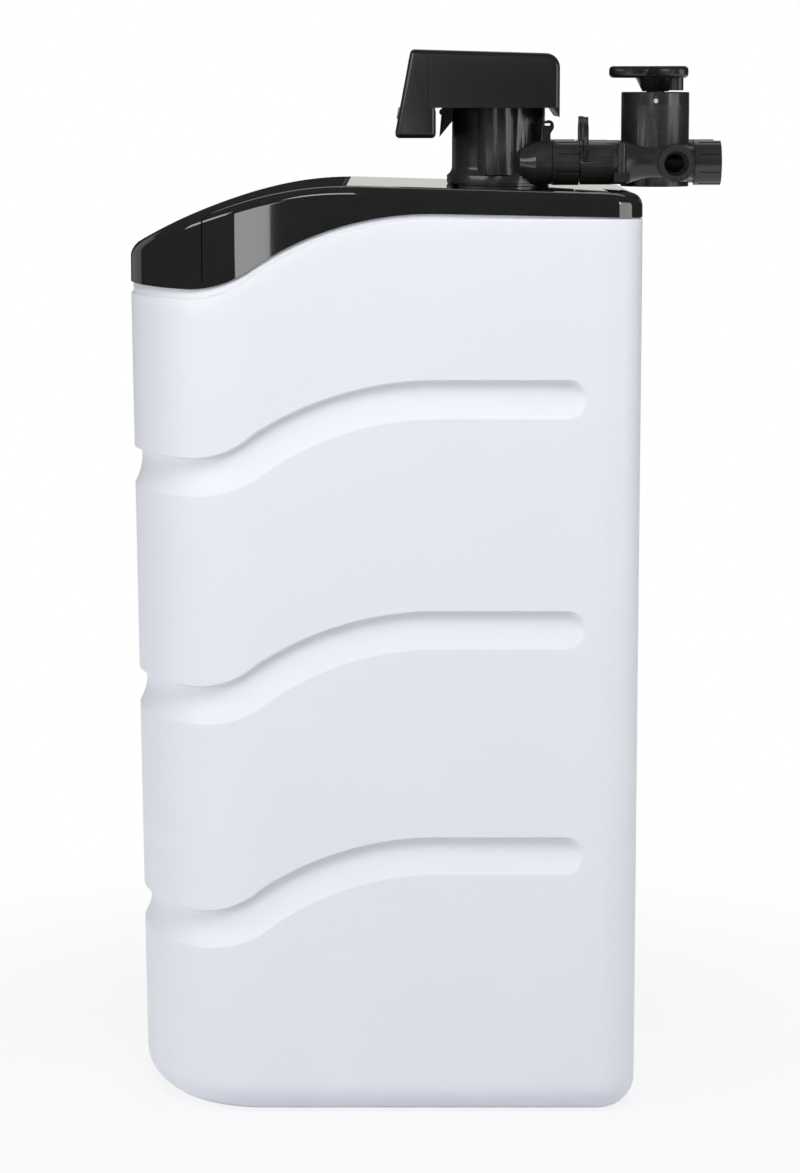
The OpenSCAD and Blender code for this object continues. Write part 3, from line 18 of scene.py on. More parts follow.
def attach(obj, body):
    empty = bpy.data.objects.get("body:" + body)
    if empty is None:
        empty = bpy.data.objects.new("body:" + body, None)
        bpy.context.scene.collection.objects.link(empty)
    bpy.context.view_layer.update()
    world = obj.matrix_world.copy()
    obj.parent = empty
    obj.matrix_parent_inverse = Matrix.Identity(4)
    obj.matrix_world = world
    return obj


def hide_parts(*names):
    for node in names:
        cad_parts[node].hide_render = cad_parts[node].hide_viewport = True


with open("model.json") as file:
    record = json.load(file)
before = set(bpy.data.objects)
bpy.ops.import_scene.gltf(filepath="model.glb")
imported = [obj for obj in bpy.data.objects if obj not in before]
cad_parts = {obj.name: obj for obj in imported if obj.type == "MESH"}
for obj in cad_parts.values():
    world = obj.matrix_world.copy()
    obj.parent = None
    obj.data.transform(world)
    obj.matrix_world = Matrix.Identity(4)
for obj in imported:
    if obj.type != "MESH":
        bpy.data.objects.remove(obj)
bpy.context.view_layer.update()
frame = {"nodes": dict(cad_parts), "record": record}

LOG = logging.getLogger("softener")
MM = 0.001
MERGE_MM = 0.005
# Angle in degrees past which an edge of a moulded shell is a corner
SHELL_CORNER = 50.0

Point = tuple[float, float]
Triple = tuple[float, float, float]
Feeds = dict[str | int, float | Sequence[float] | NodeSocket]


class Body(Enum):
    """The rigid bodies that pieces ride on."""

    FRAME = "frame"
    LID = "lid"
    PLUG = "bypass_plug"


class Seen(Enum):
    """Which surfaces a lamp shows in."""

    MATT = "matt"
    GLOSS = "gloss"


class SubAssembly(ABC):
    """A group of pieces that are built and dressed together."""

    @abstractmethod
    def build(self) -> list[Object]:
        """Build and dress the pieces, and return them."""


# Finishes

def feed(tree: NodeTree, node: Node, feeds: Feeds) -> None:
    """Set or link some of a node's inputs.

    Args:
        tree: the tree that holds the node.
        node: the node.
        feeds: for each input, its value or the socket that feeds it.
    """
    for label, value in feeds.items():
        if isinstance(value, NodeSocket):
            tree.links.new(value, node.inputs[label])
        else:
            node.inputs[label].default_value = value


def add_node(tree: NodeTree, kind: str, feeds: Feeds | None = None,
             **options: object) -> Node:
    """Add a node to a tree.

    Args:
        tree: the tree to add to.
        kind: the node's type.
        feeds: for each input, its value or the socket that feeds it.
        options: the node's own settings, made before its inputs.

    Returns:
        The node.
    """
    node = tree.nodes.new(kind)
    for option, value in options.items():
        setattr(node, option, value)
    feed(tree, node, feeds or {})
    return node


def add_math(tree: NodeTree, operation: str, *terms: float | NodeSocket,
             clamp: bool = False) -> NodeSocket:
    """Add a sum to a tree.

    Args:
        tree: the tree to add to.
        operation: what is done with the terms.
        terms: values, or the sockets that they come from.
        clamp: whether the result is kept between 0 and 1.

    Returns:
        The socket of the result.
    """
    made = add_node(tree, "ShaderNodeMath", dict(enumerate(terms)), operation=operation, use_clamp=clamp)
    return made.outputs["Value"]


# Detail of the noise in each kind of mark, and the span of noise that is stretched to 0 and 1
MARK_DETAIL = {"Grain": 2.0, "Mottle": 5.0}
MARK_SPAN = (0.15, 0.85)


def marks_group() -> NodeTree:
    """Node group of moulded grain and broad mottling on Object coordinates.

    Returns:
        The group, with inputs for both scales and outputs Grain and Mottle.
    """
    name = "surface_marks"
    if name in bpy.data.node_groups:
        return bpy.data.node_groups[name]
    group = bpy.data.node_groups.new(name, "ShaderNodeTree")
    for label in MARK_DETAIL:
        group.interface.new_socket(f"{label} Scale", in_out="INPUT", socket_type="NodeSocketFloat")
        group.interface.new_socket(label, in_out="OUTPUT", socket_type="NodeSocketFloat")
    scales = add_node(group, "NodeGroupInput")
    outputs = add_node(group, "NodeGroupOutput")
    place = add_node(group, "ShaderNodeTexCoord").outputs["Object"]
    for label, detail in MARK_DETAIL.items():
        noise = add_node(group, "ShaderNodeTexNoise", {
            "Vector": place, "Scale": scales.outputs[f"{label} Scale"], "Detail": detail})
        stretch = add_node(group, "ShaderNodeMapRange", {
            "Value": noise.outputs["Fac"], "From Min": MARK_SPAN[0], "From Max": MARK_SPAN[1]})
        feed(group, outputs, {label: stretch.outputs["Result"]})
    return group


@dataclass(frozen=True)
class Finish:
    """A moulded or metal surface: two near shades, its gloss and its grain."""

    name: str
    colour: Triple
    shade: Triple
    roughness: tuple[float, float]
    grain_mm: float = 0.8
    grain_depth_mm: float = 0.01
    mottle_mm: float = 60.0
    metallic: float = 0.0
    coat: float = 0.0
    slot: str = ""

    def material(self) -> Material:
        """Make the finish's material, once.

        Returns:
            The material.
        """
        label = f"{self.name}_finish"
        if label in bpy.data.materials:
            return bpy.data.materials[label]
        made = bpy.data.materials.new(label)
        made.use_nodes = True
        tree = made.node_tree
        marks = add_node(tree, "ShaderNodeGroup", {
            "Grain Scale": 1.0 / (self.grain_mm * MM), "Mottle Scale": 1.0 / (self.mottle_mm * MM)},
            node_tree=marks_group())
        tone, height = self.pattern(tree, marks)
        blend = add_node(tree, "ShaderNodeMix", {
            "A": (*self.colour, 1.0), "B": (*self.shade, 1.0), "Factor": tone}, data_type="RGBA")
        gloss = add_node(tree, "ShaderNodeMapRange", {
            "Value": marks.outputs["Mottle"], "To Min": self.roughness[0], "To Max": self.roughness[1]})
        bump = add_node(tree, "ShaderNodeBump", {
            "Strength": 1.0, "Distance": self.grain_depth_mm * MM, "Height": height})
        feed(tree, tree.nodes["Principled BSDF"], {
            "Metallic": self.metallic, "Coat Weight": self.coat, "Base Color": blend.outputs["Result"],
            "Roughness": gloss.outputs["Result"], "Normal": bump.outputs["Normal"]})
        return made

    def pattern(self, tree: NodeTree, marks: Node) -> tuple:
        """Sockets for tone and height, which a patterned finish replaces.

        Args:
            tree: the node tree of the material being built. Not used here.
            marks: its node of grain and mottling.

        Returns:
            The socket that mixes the two shades and the socket of the surface's height.
        """
        return marks.outputs["Mottle"], marks.outputs["Grain"]


@dataclass(frozen=True)
class Wound(Finish):
    """Resin-wound fibre: bands that cross at the winding angle."""

    band_mm: float = 9.0
    angle: float = 54.0
    # Above this height the tank is black: its dark neck insert, and also painted shade for the gap under the
    # valve's flange
    wound_below_mm: float = 878.0
    waver: float = 1.5
    band_tone: float = 0.6

    def pattern(self, tree: NodeTree, marks: Node) -> tuple:
        """Bands of fibre wound both ways, up to the neck, which is coloured black: the tank's dark neck
        insert, and also painted shade in the gap under the valve's flange.

        Args:
            tree: the node tree of the material being built.
            marks: its node of grain and mottling. Not used here.

        Returns:
            The sockets of tone and height.
        """
        place = add_node(tree, "ShaderNodeTexCoord").outputs["Object"]
        bands = []
        for turn in (self.angle, -self.angle):
            mapping = add_node(tree, "ShaderNodeMapping", {
                "Vector": place, "Rotation": (0.0, math.radians(turn), 0.0)})
            wave = add_node(tree, "ShaderNodeTexWave", {
                "Vector": mapping.outputs["Vector"], "Scale": 1.0 / (self.band_mm * MM) / (2 * math.pi),
                "Distortion": self.waver}, bands_direction="X")
            bands.append(wave.outputs["Fac"])
        rise = add_node(tree, "ShaderNodeSeparateXYZ", {"Vector": place}).outputs["Z"]
        below = add_math(tree, "LESS_THAN", rise, self.wound_below_mm * MM)
        wound = add_math(tree, "MULTIPLY", add_math(tree, "MAXIMUM", *bands), below)
        return add_math(tree, "MULTIPLY_ADD", wound, self.band_tone, below, clamp=True), wound


@dataclass(frozen=True)
class Beads(Finish):
    """Loose round beads."""

    bead_mm: float = 0.9

    def pattern(self, tree: NodeTree, marks: Node) -> tuple:
        """Cells of beads.

        Args:
            tree: the node tree of the material being built.
            marks: its node of grain and mottling.

        Returns:
            The sockets of tone and height.
        """
        place = add_node(tree, "ShaderNodeTexCoord").outputs["Object"]
        cells = add_node(tree, "ShaderNodeTexVoronoi", {"Vector": place, "Scale": 1.0 / (self.bead_mm * MM)})
        return marks.outputs["Mottle"], add_math(tree, "SUBTRACT", 1.0, cells.outputs["Distance"])


@dataclass(frozen=True)
class Brushed(Finish):
    """Metal with fine lines along one direction."""

    stretch: Triple = (1.0, 1.0, 0.02)

    def pattern(self, tree: NodeTree, marks: Node) -> tuple:
        """Long thin scratches.

        Args:
            tree: the node tree of the material being built.
            marks: its node of grain and mottling. Not used here.

        Returns:
            The sockets of tone and height.
        """
        place = add_node(tree, "ShaderNodeTexCoord").outputs["Object"]
        mapping = add_node(tree, "ShaderNodeMapping", {"Vector": place, "Scale": self.stretch})
        lines = add_node(tree, "ShaderNodeTexNoise", {
            "Vector": mapping.outputs["Vector"], "Scale": 1.0 / (self.grain_mm * MM)})
        return lines.outputs["Fac"], lines.outputs["Fac"]


WHITE = Finish("cabinet_white", (0.845, 0.862, 0.875), (0.82, 0.84, 0.86), (0.42, 0.52),
               grain_mm=1.6, grain_depth_mm=0.012, mottle_mm=140.0)
GLOSS = Finish("gloss_black", (0.015, 0.015, 0.0145), (0.018, 0.018, 0.017), (0.006, 0.014),
               grain_mm=40.0, grain_depth_mm=0.002, mottle_mm=45.0, coat=1.0)
SATIN = Finish("satin_black", (0.022, 0.022, 0.020), (0.032, 0.032, 0.029), (0.15, 0.25),
               grain_mm=0.9, grain_depth_mm=0.015, mottle_mm=9.0)
COARSE = Finish("coarse_black", (0.020, 0.020, 0.018), (0.030, 0.030, 0.027), (0.24, 0.36),
                grain_mm=1.1, grain_depth_mm=0.05, mottle_mm=4.0, slot="satin_black")
GRAINED = Finish("grained_black", (0.012, 0.012, 0.012), (0.014, 0.014, 0.0135), (0.24, 0.28),
                 grain_mm=0.7, grain_depth_mm=0.03, mottle_mm=60.0, slot="satin_black")
KNOB = Finish("knob_black", (0.013, 0.013, 0.013), (0.016, 0.016, 0.015), (0.26, 0.32),
              grain_mm=4.0, grain_depth_mm=0.002, mottle_mm=50.0, slot="gloss_black")
HINGE = Finish("hinge_black", (0.006, 0.006, 0.006), (0.008, 0.008, 0.007), (0.65, 0.75),
               grain_mm=1.0, grain_depth_mm=0.02, mottle_mm=12.0, slot="gloss_black")
MILK = Finish("white_moulding", (0.72, 0.73, 0.71), (0.68, 0.69, 0.66), (0.36, 0.48),
              grain_mm=1.0, grain_depth_mm=0.01, mottle_mm=40.0)
TANK = Wound("tank_wrap", (0.012, 0.012, 0.013), (0.14, 0.27, 0.44), (0.28, 0.40), grain_depth_mm=0.25)
RESIN = Beads("resin", (0.46, 0.22, 0.05), (0.56, 0.30, 0.08), (0.30, 0.45), grain_depth_mm=0.4)
RUBBER = Finish("seal", (0.016, 0.016, 0.016), (0.026, 0.026, 0.026), (0.6, 0.75), mottle_mm=8.0)
CERAMIC = Finish("ceramic", (0.80, 0.79, 0.75), (0.84, 0.83, 0.79), (0.12, 0.2), mottle_mm=15.0)
GEAR = Finish("gear", (0.62, 0.58, 0.48), (0.56, 0.52, 0.43), (0.38, 0.48), mottle_mm=12.0)
BRASS = Finish("brass", (0.72, 0.52, 0.22), (0.62, 0.43, 0.17), (0.22, 0.36), metallic=1.0, mottle_mm=6.0)
STEEL = Brushed("steel", (0.56, 0.57, 0.58), (0.46, 0.47, 0.48), (0.26, 0.38), metallic=1.0, grain_mm=0.3)
SCREW = Finish("bright_screw", (0.88, 0.86, 0.81), (0.80, 0.77, 0.71), (0.20, 0.30),
               metallic=0.2, mottle_mm=3.0)
MOTOR = Brushed("motor", (0.42, 0.43, 0.45), (0.36, 0.37, 0.39), (0.3, 0.42), metallic=1.0, grain_mm=0.4)
WINDOW = Finish("window", (0.05, 0.06, 0.07), (0.06, 0.07, 0.08), (0.06, 0.1), mottle_mm=30.0, coat=0.5)
BOARD = Finish("board", (0.02, 0.10, 0.04), (0.03, 0.14, 0.06), (0.3, 0.4), mottle_mm=5.0)
KEY = Finish("key", (0.20, 0.205, 0.21), (0.24, 0.245, 0.25), (0.4, 0.5), mottle_mm=4.0)
TURBINE = Finish("turbine", (0.08, 0.20, 0.42), (0.10, 0.24, 0.48), (0.25, 0.35), mottle_mm=5.0)


# Mesh helpers

def wrap_grid(bm: BMesh, columns: int, rows: int, place: Callable[[int, int], Vector]) -> None:
    """Make a grid and wrap it onto a surface.

    Args:
        bm: the mesh to add to.
        columns: number of faces along the grid.
        rows: number of faces across the grid.
        place: position of the grid's vertex at a column and row, in millimetres.
    """
    made = bmesh.ops.create_grid(bm, x_segments=columns, y_segments=rows, size=1.0)
    for vert in made["verts"]:
        column = round((vert.co.x + 1.0) / 2.0 * columns)
        row = round((vert.co.y + 1.0) / 2.0 * rows)
        vert.co = place(column, row)
    bmesh.ops.remove_doubles(bm, verts=bm.verts, dist=MERGE_MM)


def close_across(bm: BMesh, edges: Sequence[BMEdge]) -> None:
    """Fill an open rim, mirrored about the X axis, with strips from side to side."""
    sides = [edge for edge in edges if edge.verts[0].co.y * edge.verts[1].co.y > 0]
    bmesh.ops.bridge_loops(bm, edges=sides)


def rim_edges(bm: BMesh, above: Callable[[Vector], bool]) -> list[BMEdge]:
    """Open edges whose two ends pass a test of place."""
    return [edge for edge in bm.edges if edge.is_boundary and all(above(v.co) for v in edge.verts)]


def cut(bm: BMesh, point: Sequence[float], normal: Sequence[float]) -> None:
    """Cut every face along a plane and keep both sides."""
    geometry = bm.verts[:] + bm.edges[:] + bm.faces[:]
    bmesh.ops.bisect_plane(bm, geom=geometry, dist=MERGE_MM, plane_co=point, plane_no=normal)


def keep_faces(bm: BMesh, wanted: Callable[[Vector], bool]) -> None:
    """Delete the faces whose middle doesn't pass a test of place."""
    doomed = [face for face in bm.faces if not wanted(face.calc_center_median())]
    bmesh.ops.delete(bm, geom=doomed, context="FACES")


def extrude(bm: BMesh, faces: Sequence[BMFace], way: Sequence[float]) -> None:
    """Pull flat faces out into a solid.

    Args:
        bm: the mesh that holds the faces.
        faces: the faces.
        way: how far and where they go.
    """
    grown = bmesh.ops.extrude_face_region(bm, geom=list(faces))
    moved = [item for item in grown["geom"] if isinstance(item, BMVert)]
    bmesh.ops.translate(bm, verts=moved, vec=way)


def prism(bm: BMesh, outline: Sequence[Point], y0: float, y1: float) -> None:
    """Add a solid with a side-view outline.

    Args:
        bm: the mesh to add to.
        outline: its points as (x, z).
        y0: place of its near face.
        y1: place of its far face.
    """
    face = bmesh.ops.create_circle(bm, cap_ends=True, segments=len(outline), radius=1.0)
    for vert, (x, z) in zip(face["verts"], outline):
        vert.co = (x, y0, z)
    extrude(bm, face["verts"][0].link_faces, (0.0, y1 - y0, 0.0))
    bmesh.ops.recalc_face_normals(bm, faces=bm.faces)


def cylinder(bm: BMesh, foot: Sequence[float], r0: float, r1: float, height: float,
             turn: Matrix | None = None, sides: int = 64) -> None:
    """Add a closed cylinder or cone.

    Args:
        bm: the mesh to add to.
        foot: middle of its lower end.
        r0: radius at the foot.
        r1: radius at the top.
        height: its length.
        turn: how its upright axis is turned about the foot.
        sides: number of flats round it.
    """
    made = bmesh.ops.create_cone(bm, cap_ends=True, segments=sides, radius1=r0, radius2=r1, depth=height)
    bmesh.ops.translate(bm, verts=made["verts"], vec=(0.0, 0.0, height / 2))
    if turn:
        bmesh.ops.rotate(bm, verts=made["verts"], matrix=turn)
    bmesh.ops.translate(bm, verts=made["verts"], vec=foot)


def box(low: Sequence[float], high: Sequence[float]) -> BMesh:
    """Make a plain box.

    Args:
        low: its corner with the least coordinates.
        high: its corner with the greatest coordinates.

    Returns:
        Its mesh.
    """
    bm = bmesh.new()
    bmesh.ops.create_cube(bm, size=1.0)
    bmesh.ops.scale(bm, vec=[b - a for a, b in zip(low, high)], verts=bm.verts)
    bmesh.ops.translate(bm, vec=[(a + b) / 2 for a, b in zip(low, high)], verts=bm.verts)
    return bm


def arc(cx: float, cy: float, r: float, start: float, end: float, steps: int) -> list[Point]:
    """Points of an arc between two angles in degrees."""
    angles = [math.radians(start + (end - start) * k / steps) for k in range(steps + 1)]
    return [(cx + r * math.cos(a), cy + r * math.sin(a)) for a in angles]


def add_object(name: str, bm: BMesh) -> Object:
    """Turn a mesh into an object of the scene.

    Args:
        name: name of the object and of its mesh.
        bm: the mesh, which is used up.

    Returns:
        The object.
    """
    mesh = bpy.data.meshes.new(name)
    bm.to_mesh(mesh)
    bm.free()
    made = bpy.data.objects.new(name, mesh)
    bpy.context.scene.collection.objects.link(made)
    return made


def carve(bm: BMesh, *tools: BMesh) -> BMesh:
    """Cut meshes out of another one in turn, and use all of them up.

    Args:
        bm: the mesh to cut.
        tools: the closed shapes to take away.

    Returns:
        What is left.
    """
    for tool in tools:
        pair = []
        for part in (bm, tool):
            bmesh.ops.recalc_face_normals(part, faces=part.faces)
            pair.append(add_object("stand_in", part))
        change = pair[0].modifiers.new("cut", "BOOLEAN")
        change.object = pair[1]
        change.operation = "DIFFERENCE"
        change.solver = "EXACT"
        bm = bmesh.new()
        bm.from_object(pair[0], bpy.context.evaluated_depsgraph_get())
        for made in pair:
            mesh = made.data
            bpy.data.objects.remove(made)
            bpy.data.meshes.remove(mesh)
    return bm


@dataclass(frozen=True)
class Edge:
    """How a piece's edges and walls are finished, in millimetres and degrees."""

    bevel: float = 0.0
    segments: int = 2
    limit: float = 40.0
    wall: float = 0.0


def make_piece(name: str, bm: BMesh, body: str, finish: Finish,
               replaced: Sequence[str], edge: Edge) -> Object:
    """Turn a mesh in millimetres into a finished piece of the scene.

    Args:
        name: name of the piece.
        bm: its mesh, which is used up.
        body: the body that it rides on.
        finish: its finish.
        replaced: the CAD nodes that it stands for.
        edge: how its edges and walls are finished.

    Returns:
        The piece.
    """
    bmesh.ops.recalc_face_normals(bm, faces=bm.faces)
    bmesh.ops.scale(bm, vec=(MM, MM, MM), verts=bm.verts)
    piece = add_object(name, bm)
    piece.data.shade_smooth()
    piece.data.set_sharp_from_angle(angle=math.radians(edge.limit))
    piece.data.materials.append(finish.material())
    if edge.wall:
        wall = piece.modifiers.new("wall", "SOLIDIFY")
        wall.thickness = edge.wall * MM
        wall.offset = -1.0
        wall.use_even_offset = True
    if edge.bevel:
        round_off = piece.modifiers.new("round_edges", "BEVEL")
        round_off.width = edge.bevel * MM
        round_off.segments = edge.segments
        round_off.limit_method = "ANGLE"
        round_off.angle_limit = math.radians(edge.limit)
        round_off.harden_normals = True
    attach(piece, body)
    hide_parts(*replaced)
    return piece


# Shapes that the cabinet, the cover and the lid share

@dataclass(frozen=True)
class Plan:
    """Plan outline: straight rear and sides, round corners and a bowed front, in millimetres."""

    depth: float = 500.0
    width: float = 320.0
    rear_r: float = 38.0
    corner_r: float = 110.0
    bow_r: float = 200.0
    rear_steps: int = 10
    corner_steps: int = 36
    bow_steps: int = 11
    groove_end_x: float = 140.0
    fine_step: float = 2.0
    coarse_step: float = 6.0

    @property
    def half_depth(self) -> float:
        """Half of the depth."""
        return self.depth / 2

    @property
    def half_width(self) -> float:
        """Half of the width."""
        return self.width / 2

    def half(self, inset: float) -> list[Point]:
        """Near half of the outline from the rear to the front, drawn in.

        Args:
            inset: how far the outline is drawn in.

        Returns:
            Its points as (x, y).
        """
        bow_x = self.bow_r - self.half_depth
        corner_y = self.half_width - self.corner_r
        spread = self.bow_r - self.corner_r
        corner_x = bow_x - math.sqrt(spread ** 2 - corner_y ** 2)
        bow_angle = math.degrees(math.asin(corner_y / spread)) - 180.0
        rear_x = self.half_depth - self.rear_r
        points = arc(rear_x, self.rear_r - self.half_width, self.rear_r - inset, 0.0, -90.0, self.rear_steps)
        for start, end, step in ((rear_x, self.groove_end_x, self.fine_step),
                                 (self.groove_end_x, corner_x, self.coarse_step)):
            count = round((start - end) / step)
            points += [(start + (end - start) * k / count, inset - self.half_width)
                       for k in range(1, count + 1)]
        points += arc(corner_x, -corner_y, self.corner_r - inset, -90.0, bow_angle, self.corner_steps)[1:-1]
        points += arc(bow_x, 0.0, self.bow_r - inset, bow_angle, -180.0, self.bow_steps)[:-1]
        return points

    def ring(self, inset: float) -> list[Point]:
        """Whole outline, drawn in: the near half and its mirror image."""
        near = self.half(inset)
        return near + [(x, -y) for x, y in reversed(near)]


@dataclass(frozen=True)
class Wave:
    """Side-view wave: a convex crest that runs into a concave foot, in millimetres."""

    start_x: float = 53.0
    crest_r: float = 310.0
    foot_r: float = 112.0
    drop: float = 77.0

    def at(self, x: float) -> tuple[float, float]:
        """Fall and slope of the wave at x.

        Args:
            x: place along the cabinet.

        Returns:
            Height against the rear level, and the slope's angle.
        """
        angle = math.acos(1.0 - self.drop / (self.crest_r + self.foot_r))
        crest_end = self.start_x - self.crest_r * math.sin(angle)
        foot_end = crest_end - self.foot_r * math.sin(angle)
        if x >= self.start_x:
            return 0.0, 0.0
        if x >= crest_end:
            run = self.start_x - x
            return math.sqrt(self.crest_r ** 2 - run ** 2) - self.crest_r, math.asin(run / self.crest_r)
        if x >= foot_end:
            run = x - foot_end
            rise = self.foot_r - self.drop - math.sqrt(self.foot_r ** 2 - run ** 2)
            return rise, math.asin(run / self.foot_r)
        return -self.drop, 0.0


PLAN = Plan()
WAVE = Wave()
SHOULDER = 880.0
TANK_R = 128.5
TANK_CLEARANCE = 6.5
NECK_RISE = 29.5
VALVE = Vector((PLAN.half_depth - TANK_CLEARANCE - TANK_R, 0.0, SHOULDER + NECK_RISE))


def shoulder_height(x: float) -> float:
    """Height of the cabinet's shoulder at x."""
    return SHOULDER + WAVE.at(x)[0]


# Cabinet

@dataclass
class Cabinet(SubAssembly):
    """White moulded shell with three wave grooves, in millimetres."""

    wall: float = 4.0
    lean: float = 0.0106
    lean_full_x: float = -124.8
    base_round: float = 32.0
    base_steps: int = 9
    shoulder_round: float = 3.0
    shoulder_steps: int = 3
    neck_step: float = 2.5
    neck_height: float = 13.0
    groove_width: float = 37.5
    groove_depth: float = 7.5
    groove_pitch: float = 223.0
    groove_fall: float = 172.0
    groove_end: float = 55.0
    groove_count: int = 3
    groove_rows: int = 28
    plain_rows: int = 5
    lip_reach: float = 1.04
    ledge_share: float = 0.045
    ledge_depth: float = 0.92
    deepest: float = 0.3

    def groove_height(self, index: int, x: float) -> float:
        """Height of a groove's middle at x."""
        return shoulder_height(x) - self.groove_fall - index * self.groove_pitch

    def lip_height(self, index: int, side: int, x: float) -> float:
        """Height at x of a groove's lower lip, for side -1, or its upper lip, for side 1."""
        reach = self.lip_reach * self.groove_width / 2 / math.cos(WAVE.at(x)[1])
        return self.groove_height(index, x) + side * reach

    def groove_inset(self, x: float, z: float) -> float:
        """How far the grooves draw the surface in.

        Args:
            x: place along the cabinet.
            z: height.

        Returns:
            Depth below the plain surface.
        """
        half = self.groove_width / 2
        past = max(0.0, x - (PLAN.half_depth - self.groove_end - half)) / half
        slope = WAVE.at(x)[1]
        for index in range(self.groove_count):
            across = (z - self.groove_height(index, x)) * math.cos(slope) / half
            room = 1.0 - across ** 2
            if room > past ** 2:
                depth = self.groove_depth * self.profile((1.0 - across) / 2)
                return depth * math.sqrt(1.0 - past ** 2 / room)
        return 0.0

    def profile(self, down: float) -> float:
        """Section of a groove.

        Args:
            down: place from its upper lip at 0 to its lower lip at 1.

        Returns:
            Share of the groove's depth.
        """
        if down < self.ledge_share:
            return self.ledge_depth * down / self.ledge_share
        if down < self.deepest:
            back = (self.deepest - down) / (self.deepest - self.ledge_share)
            return 1.0 - (1.0 - self.ledge_depth) * back ** 2
        return 1.0 - ((down - self.deepest) / (1.0 - self.deepest)) ** 2

    def rows(self) -> list[tuple[Callable[[float], float], float]]:
        """Rows of the shell from the floor to the neck.

        Returns:
            For each row, its height as a function of x and its inset.
        """
        made = []
        for k in range(self.base_steps):
            angle = math.pi / 2 * k / self.base_steps
            made.append((lambda x, h=self.base_round * (1 - math.cos(angle)): h,
                         self.base_round * (1 - math.sin(angle))))
        keys = [lambda x: self.base_round]
        for index in reversed(range(self.groove_count)):
            keys += [lambda x, i=index, s=side: self.lip_height(i, s, x) for side in (-1, 1)]
        keys.append(lambda x: shoulder_height(x) - self.shoulder_round)
        for number, (low, high) in enumerate(zip(keys, keys[1:])):
            count = self.groove_rows if number % 2 else self.plain_rows
            for k in range(count):
                share = (1 - math.cos(math.pi * k / count)) / 2
                made.append((lambda x, a=low, b=high, t=share: a(x) + (b(x) - a(x)) * t, 0.0))
        for k in range(self.shoulder_steps + 1):
            angle = math.pi / 2 * k / self.shoulder_steps
            made.append((lambda x, h=self.shoulder_round * (math.sin(angle) - 1): shoulder_height(x) + h,
                         self.shoulder_round * (1 - math.cos(angle))))
        for rise in (0.0, self.neck_height):
            made.append((lambda x, h=rise: shoulder_height(x) + h, self.neck_step))
        return made

    def build(self) -> list[Object]:
        """Build the shell and dress it in white.

        Returns:
            The shell.
        """
        rows = self.rows()
        plain = PLAN.ring(0.0)
        count = len(plain)
        front_level = SHOULDER - WAVE.drop
        places = []
        for height, inset in rows:
            heights = [height(x) for x, _ in plain]
            depths = [inset or self.groove_inset(x, z) for (x, _), z in zip(plain, heights)]
            rings = {depth: PLAN.ring(depth) for depth in set(depths)}
            line = []
            for i, (depth, z) in enumerate(zip(depths, heights)):
                x, y = rings[depth][i]
                share = min(1.0, max(0.0, (WAVE.start_x - x) / (WAVE.start_x - self.lean_full_x)))
                line.append(Vector((x + share * self.lean * max(0.0, front_level - z), y, z)))
            places.append(line)
        bm = bmesh.new()
        wrap_grid(bm, count, len(rows) - 1, lambda i, j: places[j][i % count])
        close_across(bm, rim_edges(bm, lambda p: p.z < self.base_round / 2))
        return [make_piece("cabinet_shell", bm, Body.FRAME.value, WHITE, ["cabinet"],
                           Edge(wall=self.wall, limit=SHELL_CORNER))]


# Cover and lid

